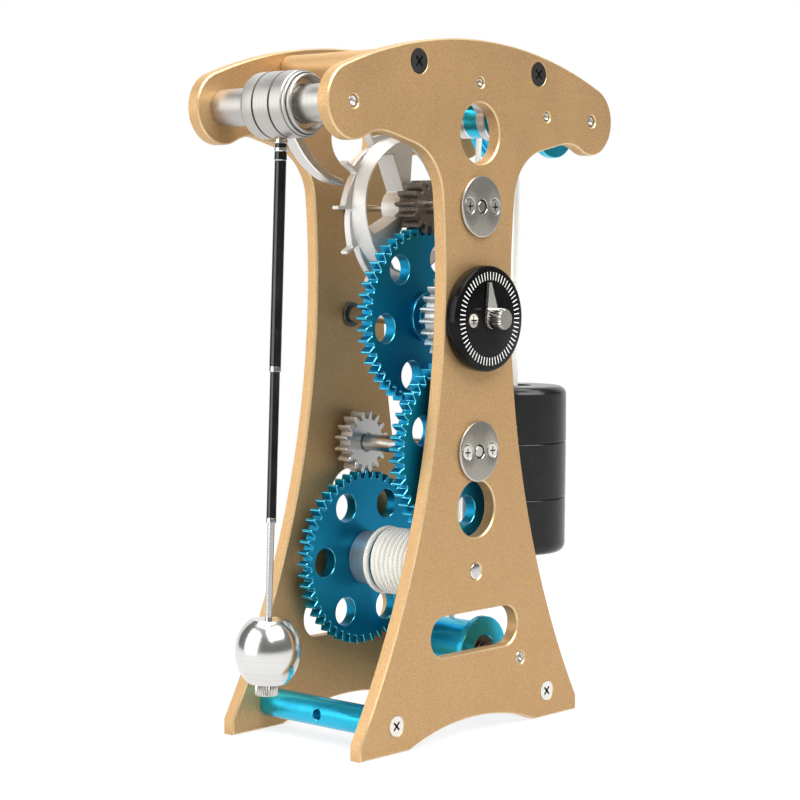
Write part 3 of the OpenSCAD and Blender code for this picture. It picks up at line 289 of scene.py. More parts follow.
def blasted(name, tones, metallic, rough, grain, depth):
    """Bead-blasted metal, anodised or bare."""
    material, tree, shader = blank_material(name, metallic, sum(rough) / 2)
    finish = use(tree, blast, Grain_size=grain, Depth=depth)
    marks = use(tree, handled, Size=0.02)
    both = math_node(tree, "MULTIPLY", finish["Cloud"], marks["Smudge"])
    dress(tree, shader, finish["Grain"], tones, both, rough, finish["Normal"],
          until=0.5)
    return material


def lathed(name, tones, metallic, rough, width, depth, centre, axis=(0, 1, 0)):
    """Metal turned round an axis, with fine rings."""
    material, tree, shader = blank_material(name, metallic, sum(rough) / 2)
    finish = use(tree, turned, Centre=tuple(centre), Axis=tuple(axis), Ring_width=width,
                 Depth=depth)
    marks = use(tree, handled, Size=0.008)
    dress(tree, shader, finish["Rings"], tones, marks["Smudge"], rough, finish["Normal"])
    return material


print("material makers ready")

# %% Axes of the model
# Read from the solids, because rings from a lathe run round a piece's own axis
CENTRE_OF = {name: sum(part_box(name), Vector()) / 2 for name in frame["nodes"]}
GREAT, SECOND, THIRD, ESCAPE = (CENTRE_OF[n] for n in (
    "great_arbor", "second_arbor", "third_arbor", "escape_arbor"))
GUIDE, ARM, PIVOT = (CENTRE_OF[n] for n in ("guide_axle", "arm_axle", "pendulum_bar"))
LEAN = math.radians(1.8)
DOWN = Vector((-math.sin(LEAN), 0, -math.cos(LEAN)))
print("the pendulum hangs along", [round(v, 3) for v in DOWN])

# %% Blasted metals
# Dark and light tone, metallic, least and most roughness, grain in mm, depth in microns
MICRON = 0.001 * MM
(gold, gold_cut_highlight, teal, teal_cut_highlight, bare, bare_cut_highlight, satin, bright_steel_and_cut_highlight, dark, gritty, escape_matte,
 painted_groove_shade, painted_recess_shade) = (
    blasted(name, (srgb(*low), srgb(*high)), metallic, rough, grain * MM, depth * MICRON)
    for name, low, high, metallic, rough, grain, depth in (
        ("gold_anodised", (154, 118, 76), (217, 180, 130), 0.7, (0.44, 0.54), 0.4, 20),
        # A lighter gold for cut edges: a less rough cut, and its lighter tone is a painted
        # highlight
        ("gold_cut_painted_highlight", (190, 158, 112), (238, 212, 168), 0.75, (0.36, 0.46), 0.5, 20),
        ("teal_anodised", (0, 118, 158), (8, 136, 176), 0.85, (0.30, 0.42), 0.3, 6),
        # A lighter teal for cut edges: a less rough cut, and its lighter tone is a painted
        # highlight
        ("teal_cut_painted_highlight", (60, 190, 220), (120, 222, 242), 0.9, (0.2, 0.3), 0.3, 4),
        ("bare_aluminium", (196, 194, 190), (214, 212, 208), 0.95, (0.3, 0.42), 0.4, 14),
        # A lighter bare metal for cut edges: a less rough cut, and its lighter tone is a painted
        # highlight
        ("bare_cut_painted_highlight", (224, 222, 218), (240, 240, 238), 0.95, (0.2, 0.3), 0.4, 6),
        ("satin_steel", (140, 136, 128), (176, 171, 162), 0.9, (0.34, 0.44), 0.4, 10),
        # A lighter steel: on cut edges a less rough cut whose lighter tone is a painted highlight,
        # on screws, bearings and the hand their own bright steel
        ("bright_steel_and_painted_cut_highlight", (220, 216, 208), (238, 236, 230), 0.95, (0.18, 0.26), 0.3, 4),
        ("dark_steel", (70, 69, 68), (104, 103, 101), 0.9, (0.26, 0.36), 0.3, 6),
        ("pinion_steel", (84, 78, 72), (146, 138, 130), 0.8, (0.34, 0.5), 0.6, 30),
        ("escape_aluminium", (196, 194, 190), (222, 220, 216), 0.8, (0.48, 0.58), 0.4, 10),
        # A painted shade for the collar's grooves and the steps behind its lip and ring
        ("groove_shade", (58, 57, 55), (84, 82, 79), 0.6, (0.5, 0.6), 0.3, 4),
        # A painted shade for the sunk faces in screw heads
        ("recess_shade", (26, 26, 27), (48, 48, 50), 0.5, (0.45, 0.55), 0.3, 4)))
print("blasted metals:", len(bpy.data.materials))

# %% Turned metals
# The same, with the width of a ring for the grain, a point on the axis and, if not Y, its direction
(collar_metal, clutch_steel, chrome, bob_metal, brass, rod_steel, knurl) = (
    lathed(name, (srgb(*low), srgb(*high)), metallic, rough, width * MM, depth * MICRON, *line)
    for name, low, high, metallic, rough, width, depth, *line in (
        ("collar_aluminium", (160, 157, 152), (206, 204, 200), 1.0, (0.36, 0.46), 0.35, 10, PIVOT),
        ("clutch_steel", (150, 158, 160), (196, 202, 204), 0.75, (0.32, 0.42), 0.6, 6, GREAT),
        ("polished_chrome", (226, 226, 226), (238, 238, 238), 1.0, (0.06, 0.13), 0.6, 1.6,
         PIVOT, DOWN),
        ("bob_brushed", (204, 203, 200), (230, 229, 226), 1.0, (0.15, 0.22), 0.3, 3, PIVOT, DOWN),
        ("fitting_brass", (150, 122, 80), (190, 158, 112), 0.95, (0.22, 0.32), 0.4, 4, PIVOT,
         DOWN),
        ("rod_steel", (176, 175, 172), (204, 203, 200), 1.0, (0.2, 0.28), 0.3, 4, PIVOT, DOWN),
        ("knurled_nickel", (176, 172, 166), (214, 212, 206), 1.0, (0.16, 0.26), 0.4, 4, THIRD)))
teal_turned = {
    key: lathed("teal_turned_" + key, (srgb(8, 160, 200), srgb(60, 200, 228)), 0.85, (0.2, 0.3),
                0.4 * MM, 6 * MICRON, centre)
    for key, centre in (("guide", GUIDE), ("arm", ARM), ("great", GREAT),
                        ("foot", CENTRE_OF["foot_bar_left"]), ("detent", CENTRE_OF["detent_hub"]))}
arbor_steel = {
    key: lathed("arbor_steel_" + key, (srgb(188, 186, 182), srgb(214, 212, 208)), 1.0,
                (0.14, 0.24), 0.3 * MM, 3 * MICRON, centre)
    for key, centre in (("great", GREAT), ("second", SECOND), ("third", THIRD),
                        ("escape", ESCAPE))}
print("with the turned metals:", len(bpy.data.materials))

# %% Lacquer, print and cord
# A smudge on black is a lighter black: the tone times a gain, plus a lift
SMUDGE_GAIN, SMUDGE_LIFT = 1.8, 0.002


def lacquer(name, tone, rough, coat, shine=0.3):
    """Gloss black with faint handling marks, under a clear coat."""
    material, tree, shader = blank_material(name, 0.0, sum(rough) / 2, Coat_Weight=coat,
                                            Coat_Roughness=0.08, Specular_IOR_Level=shine)
    smudge = use(tree, handled, Size=0.006)["Smudge"]
    finish = use(tree, blast, Grain_size=0.0009, Depth=0.000002)
    lighter = tuple(c * SMUDGE_GAIN + SMUDGE_LIFT for c in tone[:3]) + (1.0,)
    dress(tree, shader, smudge, (tone, lighter), smudge, rough, finish["Normal"])
    return material


black = lacquer("black_gloss", srgb(14, 14, 13), (0.2, 0.3), 0.12)
rod_black = lacquer("black_rod", srgb(12, 12, 13), (0.12, 0.2), 0.3)
dial_black = lacquer("black_dial", srgb(8, 8, 8), (0.14, 0.2), 0.0, 0.12)

tick_white, tree, shader = blank_material("dial_white", 0.0, 0.5)
smudge = use(tree, handled, Size=0.004)["Smudge"]
link(tree, mixed(tree, smudge, srgb(214, 214, 210), srgb(236, 236, 232)),
     shader.inputs["Base Color"])

cord_white, tree, shader = blank_material("white_cord", 0.0, 0.85, Sheen_Weight=0.25)
strands = use(tree, braid, Strands=6.0, Depth=0.00005)
# The darker tone where the strands dip is a painted shade
dress(tree, shader, strands["Shade"], (srgb(196, 190, 178), srgb(240, 238, 231)),
      strands["Shade"], (0.95, 0.75), strands["Normal"])
print("materials:", len(bpy.data.materials))

# %% [markdown]
# ## The two plates
# The frame is two aluminium plates, milled, blasted and anodised, with a bright 45 degree cut along
# the outline, the windows and the slot. The cut is less rough, and its lighter gold is a painted
# highlight along the edge. A bevel on the solid would also cut the small holes, and leave thin
# triangles along the curves. So each plate is rebuilt: the closed loops on its two faces are read
# from the solid, moved in by the width of the cut and joined by walls, and the flat faces between
# them are filled in one go. Screw holes keep their countersinks, in the same lighter gold.

# %% Mesh helpers
# Points this close are one point, and a point this near to a plane lies on it
WELD, ON_PLANE = 1e-6, 1e-5


def shade_by_angle(mesh, degrees):
    """Smooth faces, with the edges sharper than the angle kept sharp."""
    bm = bmesh.new()
    bm.from_mesh(mesh)
    limit = math.radians(degrees)
    for face in bm.faces:
        face.smooth = True
    for edge in bm.edges:
        edge.smooth = len(edge.link_faces) == 2 and edge.calc_face_angle(0) < limit
    bm.to_mesh(mesh)
    bm.free()


def add_piece(name, mesh, body, looks, stands_for=(), slot=None, smooth=32):
    """A mesh in the frame's coordinates becomes a piece that rides on a body."""
    for look in looks:
        mesh.materials.append(look)
    shade_by_angle(mesh, smooth)
    piece = bpy.data.objects.new(name, mesh)
    bpy.context.scene.collection.objects.link(piece)
    if body:
        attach(piece, body)
    if stands_for:
        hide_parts(*stands_for)
    return piece


def mesh_from(name, points, faces, tones=None):
    """A mesh from points and faces, with the material number of each face."""
    mesh = bpy.data.meshes.new(name)
    mesh.from_pydata([tuple(p) for p in points], [], faces)
    if tones:
        for face, tone in zip(mesh.polygons, tones):
            face.material_index = tone
    mesh.update()
    return mesh


def circle(centre, side, other, radii):
    """Points round a centre, in the plane of two directions, with a radius for each."""
    turns = [2 * math.pi * k / len(radii) for k in range(len(radii))]
    return [centre + r * (math.cos(a) * side + math.sin(a) * other) for r, a in zip(radii, turns)]


def quads(a, b, count):
    """The faces between two rings of points that start at the numbers a and b."""
    return [(a + k, a + (k + 1) % count, b + (k + 1) % count, b + k) for k in range(count)]


def fan(tip, ring, count, flip=False):
    """The triangles between one point and a ring of points."""
    pairs = [(ring + k, ring + (k + 1) % count) for k in range(count)]
    return [(tip, a, b) if flip else (tip, b, a) for a, b in pairs]


print("mesh helpers ready")

# %% Loops of a flat face
# Limits how far a sharp corner can move
LEAST_MITRE = 0.3


def face_loops(source, y):
    """Closed loops of (x, z) round the flat face of a solid that lies at y, longest first."""
    bm = bmesh.new()
    bm.from_mesh(source)
    bmesh.ops.remove_doubles(bm, verts=bm.verts, dist=WELD)
    flat = {f for f in bm.faces if all(abs(v.co.y - y) < ON_PLANE for v in f.verts)}
    rims = [e for e in bm.edges if sum(f in flat for f in e.link_faces) == 1]
    nexts = {}
    for edge in rims:
        for a, b in (edge.verts, reversed(edge.verts)):
            nexts.setdefault(a, []).append(b)
    loops, seen = [], set()
    for start in nexts:
        if start in seen:
            continue
        loop, here, before = [], start, None
        while here not in seen:
            seen.add(here)
            loop.append((here.co.x, here.co.z))
            onward = [v for v in nexts[here] if v is not before and v not in seen]
            before = here
            if not onward:
                break
            here = onward[0]
        loops.append(loop)
    bm.free()
    return sorted(loops, key=length_round, reverse=True)


def length_round(loop):
    """The length of a closed loop."""
    return sum(math.dist(a, b) for a, b in zip(loop, loop[1:] + loop[:1]))


def area(loop):
    """The area inside a loop, negative where it runs clockwise."""
    return sum(a[0] * b[1] - b[0] * a[1] for a, b in zip(loop, loop[1:] + loop[:1])) / 2


def moved_in(loop, distance):
    """The loop moved to its left by a distance, with mitred corners."""
    made = []
    for i, p in enumerate(loop):
        a, b = loop[i - 1], loop[(i + 1) % len(loop)]
        d0, d1 = Vector((p[0] - a[0], p[1] - a[1])), Vector((b[0] - p[0], b[1] - p[1]))
        n0 = Vector((-d0.y, d0.x)).normalized()
        n1 = Vector((-d1.y, d1.x)).normalized()
        mitre = n0 + n1
        share = distance / max(LEAST_MITRE, mitre.dot(n0))
        made.append((p[0] + mitre.x * share, p[1] + mitre.y * share))
    return made


def middle_and_width(loop):
    """The middle of a loop's box, and how wide the box is."""
    xs, zs = zip(*loop)
    return ((min(xs) + max(xs)) / 2, (min(zs) + max(zs)) / 2), max(xs) - min(xs)


print("loop helpers ready")

# %% Plate builder
PLATE_CUT = 0.4 * MM
WINDOW_LEAST = 10 * MM
SINK_LEAST = 0.02 * MM
HOLE_SIDES = 48


def plate(name, source, y_out, y_in):
    """One plate: y_out is its shown face, y_in the face towards the wheels."""
    data = frame["nodes"][source].data
    outer, inner = face_loops(data, y_out), face_loops(data, y_in)
    toward = 1 if y_in > y_out else -1
    points, faces, tones = [], [], []
    flat_out, flat_in = [], []

    def ring(loop, y):
        first = len(points)
        points.extend((x, y, z) for x, z in loop)
        return range(first, len(points))

    for index, loop in enumerate(outer):
        if (area(loop) > 0) != (index == 0):
            loop = loop[::-1]
        centre, wide = middle_and_width(loop)
        if index == 0 or wide > WINDOW_LEAST:
            smaller = moved_in(loop, PLATE_CUT)
            rows = [ring(smaller, y_out), ring(loop, y_out + toward * PLATE_CUT),
                    ring(loop, y_in - toward * PLATE_CUT), ring(smaller, y_in)]
            # Both chamfers take material 1, the lighter gold: a painted highlight along the cut
            walls = (1, 0, 1)
        else:
            behind = min(map(middle_and_width, inner[1:]), key=lambda m: math.dist(centre, m[0]))
            r_out, r_in = wide / 2, behind[1] / 2
            turn = [(math.cos(a), math.sin(a))
                    for a in (-2 * math.pi * k / HOLE_SIDES for k in range(HOLE_SIDES))]
            depth = max(0.0, r_out - r_in)
            # A countersink takes material 1 too, with the same painted highlight
            steps = [(r_out, 0.0, 1), (r_in, depth, 0), (r_in, abs(y_in - y_out), 0)]
            if depth < SINK_LEAST:
                del steps[1]
            rows = [ring([(centre[0] + r * c, centre[1] + r * s) for c, s in turn],
                         y_out + toward * d) for r, d, tone in steps]
            walls = [tone for r, d, tone in steps]
        for a, b, tone in zip(rows, rows[1:], walls):
            faces += quads(a[0], b[0], len(a))
            tones += [tone] * len(a)
        flat_out.append(rows[0])
        flat_in.append(rows[-1])
    for rings_of_face in (flat_out, flat_in):
        order = [i for loop in rings_of_face for i in loop]
        flat = tessellate_polygon([[Vector((points[i][0], points[i][2], 0)) for i in loop]
                                   for loop in rings_of_face])
        faces += [tuple(order[k] for k in tri) for tri in flat]
        tones += [0] * len(flat)
    mesh = mesh_from(name, points, faces, tones)
    bm = bmesh.new()
    bm.from_mesh(mesh)
    bmesh.ops.recalc_face_normals(bm, faces=bm.faces)
    bm.to_mesh(mesh)
    bm.free()
    return add_piece(name, mesh, "frame", [gold, gold_cut_highlight], (source,), "plate_gold", 32)


print("plate builder ready")

# %% Make the plates
front_low, front_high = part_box("front_plate")
rear_low, rear_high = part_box("rear_plate")
plates = [plate("plate_front", "front_plate", front_low.y, front_high.y),
          plate("plate_rear", "rear_plate", rear_high.y, rear_low.y)]
print("plates:", [len(p.data.polygons) for p in plates])

# %% [markdown]
# ## Bars, axles and screws
# Two gold bars and two teal ones hold the plates apart, screws hold the bars, and steel pins and
# bearings carry what turns. The solids have the right sizes, but a real edge is never quite
# sharp. A bevel modifier would do, but the cut should also get a metal of its own. So each solid
# is copied, its sharp edges are cut at 45 degrees with bmesh, and the new faces take the second
# metal: less rough, and mostly lighter in tone, which is a painted highlight along the edge.
# Screws keep their edges, and the sunk faces of their heads get a painted shade.

# %% Cut edges with a painted highlight, and recesses with painted shade
# Faces within so many degrees count as one; a recess, the middle share of a screw's head, gets
# painted shade
FLAT_WITHIN, RECESS_SHARE, RECESS_LEAST = 0.4, 0.62, 0.04 * MM


def refined(name, source, width, looks, slot, angle=40):
    """A copy of a solid with its sharp edges cut by a width in mm, or uncut where it is 0."""
    bm = bmesh.new()
    bm.from_mesh(frame["nodes"][source].data)
    bmesh.ops.remove_doubles(bm, verts=bm.verts, dist=WELD)
    bmesh.ops.dissolve_limit(bm, angle_limit=math.radians(FLAT_WITHIN), verts=bm.verts,
                             edges=bm.edges)
    for face in bm.faces:
        face.material_index = 0
    if width > 0:
        sharp = [edge for edge in bm.edges if len(edge.link_faces) == 2
                 and edge.calc_face_angle(0) >= math.radians(angle)]
        cut = bmesh.ops.bevel(bm, geom=sharp, offset=width * MM, offset_type="OFFSET", segments=1,
                              profile=0.5, affect="EDGES", clamp_overlap=False)
        # The cut faces take material 1, mostly a lighter metal: a painted highlight along the edge
        for face in cut["faces"]:
            face.material_index = 1
    bmesh.ops.triangulate(bm, faces=[f for f in bm.faces if len(f.verts) > 4])
    mesh = bpy.data.meshes.new(name)
    bm.to_mesh(mesh)
    bm.free()
    return add_piece(name, mesh, BODY_OF[source], looks, (source,), slot)


def refined_row(names, ending, width, looks, slot):
    """Several solids with the same cut and metals; the slot is not used."""
    for name in names:
        refined(name + ending, name, width, looks, slot)


def paint_recess_shade(piece):
    """In each screw of a piece, the faces sunk into its outer end get material 1, a painted shade.
    """
    bm = bmesh.new()
    bm.from_mesh(piece.data)
    bmesh.ops.remove_doubles(bm, verts=bm.verts, dist=WELD)
    left = set(bm.faces)
    while left:
        island, next_to_it = set(), [left.pop()]
        while next_to_it:
            face = next_to_it.pop()
            island.add(face)
            near = left.intersection(f for edge in face.edges for f in edge.link_faces)
            left -= near
            next_to_it += near
        spots = [v.co for f in island for v in f.verts]
        low = Vector([min(c[i] for c in spots) for i in range(3)])
        high = Vector([max(c[i] for c in spots) for i in range(3)])
        middle, wide = (low + high) / 2, high.x - low.x
        outer = low.y if middle.y < 0 else high.y
        for face in island:
            face.material_index = 0
            away = max(math.hypot(v.co.x - middle.x, v.co.z - middle.z) for v in face.verts)
            sunk = max(abs(v.co.y - outer) for v in face.verts)
            if away < RECESS_SHARE * wide / 2 and RECESS_LEAST < sunk < wide:
                face.material_index = 1
    bm.to_mesh(piece.data)
    bm.free()
    shade_by_angle(piece.data, 30)


print("edge helpers ready")

# %% Bars, axles, screws, caps and bearings
# The cut edges of the top bars take the lighter gold, a painted highlight
for side in ("left", "right"):
    refined("bar_top_" + side, "top_bar_" + side, 0.25, [gold, gold_cut_highlight], "plate_gold")
for side in ("left", "right"):
    refined("bar_foot_" + side, "foot_bar_" + side, 0.2, [teal_turned["foot"], teal_cut_highlight],
            "teal_anodised")
# The bar's cut edges take the lighter bare metal, a painted highlight
refined("bar_pendulum", "pendulum_bar", 0.25, [collar_metal, bare_cut_highlight], "bare_aluminium")
# The cut edges of the pins take the lighter steel, a painted highlight
refined_row(("arm_axle", "guide_axle", "detent_pin", "stop_pin"), "_turned", 0.12,
            [satin, bright_steel_and_cut_highlight], "satin_steel")
for name, source, metal, slot in (("screws_foot", "foot_screws", bright_steel_and_cut_highlight, "satin_steel"),
                                  ("screws_top", "top_screws", dark, "dark_steel"),
                                  ("screws_cap", "cap_screws", bright_steel_and_cut_highlight, "satin_steel"),
                                  ("screw_dial", "dial_screw", bright_steel_and_cut_highlight, "satin_steel")):
    # The sunk faces of each screw head take a painted shade
    paint_recess_shade(refined(name, source, 0, [metal, painted_recess_shade], slot))
refined_row(("second_cap", "escape_cap"), "_face", 0.08, [satin, bright_steel_and_cut_highlight], "satin_steel")
# Their cut edges take the lighter satin steel, a painted highlight on the dark steel
refined_row(("second_bearings", "third_bearings", "escape_bearings", "guide_bearings",
             "arm_bearings", "axle_clips"), "_ground", 0.06, [dark, satin], "dark_steel")

# %% [markdown]
# ## The wheels and arbors
# Four arbors carry teal wheels that drive small bare pinions, down to a matt escape wheel. Teeth
# could be modelled anew, but those of the solids already mesh with one another, so the solids
# are kept and only their edges are cut, in a less rough metal: the light along the teeth is what
# makes a wheel look milled, and the lighter tone of the cut is a painted highlight. Each arbor
# and roller gets rings round its own axis.

# %% Wheels, pinions and arbors
refined_row(("great_wheel", "second_wheel", "third_wheel"), "_cut", 0.13, [teal, teal_cut_highlight],
            "teal_anodised")
refined_row(("second_pinion", "third_pinion"), "_cut", 0.1, [bare, bare_cut_highlight], "bare_aluminium")
refined("escape_pinion_cut", "escape_pinion", 0.1, [gritty, gritty], "dark_steel")
refined("escape_wheel_cut", "escape_wheel", 0.2, [escape_matte, bare], "bare_aluminium")
refined("third_hub_turned", "third_hub", 0.15, [teal, teal_cut_highlight], "teal_anodised")
for key in ("great", "second", "third", "escape"):
    refined(key + "_arbor_turned", key + "_arbor", 0.12, [arbor_steel[key], bright_steel_and_cut_highlight],
            "bare_aluminium")
refined("clutch_ring_turned", "clutch_ring", 0.3, [clutch_steel, bright_steel_and_cut_highlight], "dark_steel")
for name, key in (("cord_drum", "great"), ("guide_roller", "guide"), ("arm_roller", "arm")):
    refined(name + "_turned", name, 0.25, [teal_turned[key], teal_cut_highlight], "teal_anodised")

# %% [markdown]
# ## The dial
# A gloss black disc with sixty white strokes round its rim, a cross screw, a tapered hand and a
# knurled nut. The strokes could be painted in the material, but ink is a thin raised layer, and
# thin boxes stay sharp from near by. The nut's ridges are part of its outline, because a bump
# would leave it smooth in silhouette.

# %% Dial, strokes and hand
refined("dial_face", "dial", 0.3, [dial_black, dial_black], "gloss_black", angle=30)
dial_low, dial_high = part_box("dial")
DIAL_R = (dial_high.x - dial_low.x) / 2
STROKES, STROKE_HALF, INK = 60, 0.14 * MM, 0.02 * MM
STROKE_IN, STROKE_OUT = DIAL_R - 3.9 * MM, DIAL_R - 1.7 * MM
base = Vector((THIRD.x, dial_low.y, THIRD.z))
points, faces = [], []
for k in range(STROKES):
    a = 2 * math.pi * k / STROKES
    out = Vector((math.sin(a), 0, math.cos(a)))
    side = Vector((math.cos(a), 0, -math.sin(a)))
    first = len(points)
    for depth in (-INK, INK):
        for r, s in ((STROKE_IN, -1), (STROKE_IN, 1), (STROKE_OUT, 1), (STROKE_OUT, -1)):
            points.append(base + Vector((0, depth, 0)) + r * out + s * STROKE_HALF * side)
    faces += [tuple(first + i for i in quad) for quad in (
        (0, 1, 2, 3), (7, 6, 5, 4), (0, 4, 5, 1), (1, 5, 6, 2), (2, 6, 7, 3), (3, 7, 4, 0))]
ticks = add_piece("dial_strokes", mesh_from("dial_strokes", points, faces), "frame",
                  [tick_white], slot="satin_steel")
refined("hand_cut", "hand", 0, [bright_steel_and_cut_highlight], "polished")
print("strokes:", len(ticks.data.polygons) // 6)

# %% Knurled nuts
# Shares of the nut's radius at its chamfered ends and at the middle of a closed end
END_SHARE, CLOSED_SHARE, CHAMFER_SHARE = 0.88, 0.80, 0.10
STEPS_PER_RIDGE = 4


def knurled(name, source, body, axis, foot, r, length, ridges, depth, bore=0.0):
    """A nut with straight ridges and chamfered ends, from its foot up, closed or bored."""
    axis = Vector(axis).normalized()
    side = axis.orthogonal().normalized()
    other = axis.cross(side)
    count = ridges * STEPS_PER_RIDGE
    points, faces, rows = [], [], []
    inner = bore / r if bore else CLOSED_SHARE
    for t, scale, ridged in ((0.0, inner, False), (0.0, END_SHARE, False),
                             (CHAMFER_SHARE, 1.0, True), (1 - CHAMFER_SHARE, 1.0, True),
                             (1.0, END_SHARE, False), (1.0, inner, False)):
        rows.append(len(points))
        waves = [1 - abs((k % STEPS_PER_RIDGE) - 2) / 2 for k in range(count)]
        points += circle(foot + t * length * axis, side, other,
                         [r * scale - (depth * wave if ridged else 0) for wave in waves])
    for a, b in zip(rows, rows[1:] + rows[:1] if bore else rows[1:]):
        faces += quads(a, b, count)
    for row, t, flip in () if bore else ((rows[0], 0.0, False), (rows[-1], 1.0, True)):
        faces += fan(len(points), row, count, flip)
        points.append(foot + t * length * axis)
    return add_piece(name, mesh_from(name, points, faces), body, [knurl], (source,), "polished", 28)


nut_low, nut_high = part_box("thumb_nut")
thumb_nut = knurled("thumb_nut_knurled", "thumb_nut", "third", (0, 1, 0),
                    Vector((THIRD.x, nut_low.y, THIRD.z)), (nut_high.x - nut_low.x) / 2,
                    nut_high.y - nut_low.y, ridges=24, depth=0.34 * MM)
print("faces of the thumb nut:", len(thumb_nut.data.polygons))

# %% [markdown]
# ## The cord
# A braided white cord is wound on the drum, runs down round the guide roller and up over the arm
# roller, and hangs to the weight. A curve with a round bevel would give the shape, but no map for
# the braid. So a tube is built ring by ring, each turned as little as it can be, with a map of its
# own. The hanging stretch is built where it hangs at rest, and rides on no body.

# %% Tube along a path
CORD_R = 0.85 * MM
CORD_SIDES = 14


def tube(name, path, body, stands_for):
    """A cord along a path, with closed ends and a map: U along it, V round it."""
    path = [Vector(p) for p in path]
    points, faces, lengths, normal = [], [], [0.0], None
    for a, b in zip(path, path[1:]):
        lengths.append(lengths[-1] + (b - a).length)
    for i, centre in enumerate(path):
        along = (path[min(i + 1, len(path) - 1)] - path[max(i - 1, 0)]).normalized()
        normal = normal or along.orthogonal().normalized()
        normal = (normal - along * normal.dot(along)).normalized()
        points += circle(centre, normal, along.cross(normal), [CORD_R] * CORD_SIDES)
    last = len(points) - CORD_SIDES
    for first in range(0, last, CORD_SIDES):
        faces += quads(first, first + CORD_SIDES, CORD_SIDES)
    walls = len(faces)
    faces += [tuple(reversed(range(CORD_SIDES))), tuple(range(last, last + CORD_SIDES))]
    mesh = mesh_from(name, points, faces)
    layer = mesh.uv_layers.new(name="cord")
    for index, face in enumerate(mesh.polygons):
        i, k = divmod(index, CORD_SIDES)
        for corner, loop in enumerate(face.loop_indices):
            layer.data[loop].uv = (0, 0) if index >= walls else (
                lengths[i + (corner in (2, 3))] / (2 * math.pi * CORD_R),
                (k + (corner in (1, 2))) / CORD_SIDES)
    return add_piece(name, mesh, body, [cord_white], (stands_for,), "white_cord", 60)


print("cord radius:", CORD_R)

# %% Turns on the drum
# Side by side, with the slight wobble of a winding by hand
TURN_R = 8.65 * MM
WIND_BACK, WIND_FRONT, WIND_PITCH, RINGS = 5.45 * MM, -12.4 * MM, 1.71 * MM, 40
SLOW_WOBBLE, FAST_WOBBLE, SLOW_RATE, FAST_RATE = 0.06 * MM, 0.04 * MM, 5.3, 2.1
turns = (WIND_BACK - WIND_FRONT) / WIND_PITCH
path = []
for i in range(int(turns * RINGS) + 1):
    done = i / RINGS
    a = 2 * math.pi * done
    wobble = (SLOW_WOBBLE * math.sin(SLOW_RATE * done)
              + FAST_WOBBLE * math.sin(FAST_RATE * a + done))
    path.append((TURN_R * math.cos(a), WIND_BACK - WIND_PITCH * done + wobble,
                 GREAT.z + TURN_R * math.sin(a)))
tube("cord_turns", path, "great", "cord_winding")
print("turns on the drum:", round(turns, 1))

# %% Free run round the rollers
# One last turn stands still beside the drum's. From there the cord creeps back to the weight.
RUN_Y, WRAP_R, LAST_TURN_R, RUN_STEP = 7.3 * MM, 9.6 * MM, TURN_R + 0.25 * MM, 2 * MM
hang_low, hang_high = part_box("hanging_cord")
HANG_Y = (hang_low.y + hang_high.y) / 2


def around(centre, r, angles):
    """Points (x, z) on a circle, at angles in degrees."""
    return [(centre.x + r * math.cos(math.radians(a)), centre.z + r * math.sin(math.radians(a)))
            for a in angles]


flat_run = around(GREAT, LAST_TURN_R, range(330, -1, -6))
last_turn = len(flat_run) - 1
flat_run += around(GUIDE, WRAP_R, range(180, 357, 4)) + around(ARM, WRAP_R, range(176, -1, -4))
path = []
for i, (a, b) in enumerate(zip(flat_run, flat_run[1:])):
    steps = max(1, int(math.dist(a, b) / RUN_STEP))
    for k in range(steps):
        past = max(0, i + k / steps - last_turn)
        creep = (HANG_Y - RUN_Y) * past / (len(flat_run) - 1 - last_turn)
        path.append((a[0] + (b[0] - a[0]) * k / steps, RUN_Y + creep,
                     a[1] + (b[1] - a[1]) * k / steps))
path.append((flat_run[-1][0], HANG_Y, flat_run[-1][1]))
tube("cord_free_run", path, "frame", "cord_run")
print("rings of the free run:", len(path))

# %% Hanging stretch
HANG_STEPS = 34
hang_x = (hang_low.x + hang_high.x) / 2
path = [(hang_x, HANG_Y, hang_high.z + (hang_low.z - hang_high.z) * k / HANG_STEPS)
        for k in range(HANG_STEPS + 1)]
hanging = tube("cord_hanging", path, None, "hanging_cord")
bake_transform(hanging)
print("it hangs", round((hang_high.z - hang_low.z) / MM), "mm at rest")

# %% [markdown]
# ## The weight
# Three gloss black discs are stacked on a rod, with a steel eye in the top one for the cord. Their
# rims are rounded in the solids already, so a copy would gain nothing: the solids stay, with
# smooth shading and lacquer. The rod and the eye get their edges cut.

# %% Weight
discs = [frame["nodes"]["weight_disc_" + place].data for place in ("low", "mid", "top")]
for disc in discs:
    shade_by_angle(disc, 30)
    disc.materials.clear()
    disc.materials.append(black)
refined("weight_rod_turned", "weight_rod", 0.2, [satin, bright_steel_and_cut_highlight], "satin_steel")
refined("weight_eye_bent", "weight_eye", 0.1, [satin, bright_steel_and_cut_highlight], "satin_steel", angle=50)
print("faces of the discs:", [len(disc.polygons) for disc in discs])

# %% [markdown]
# ## The pendulum
# A turned collar swings on its bar. From it hang a fitting with bright rings, a telescoping black
# rod, a polished bob and a knurled nut that sets the bob's height, all leaning by 1.8 degrees.
# They were made on a lathe, and are here too: a profile of radii is turned round an axis. Rings
# and grooves could be separate pieces, but in one profile they can't gape. A third number in a
# point picks the material of the band that follows it: a metal, or on the collar a painted
# shade in its grooves and in the steps behind its lip and ring.

# %% Lathe
ON_AXIS = 1e-9


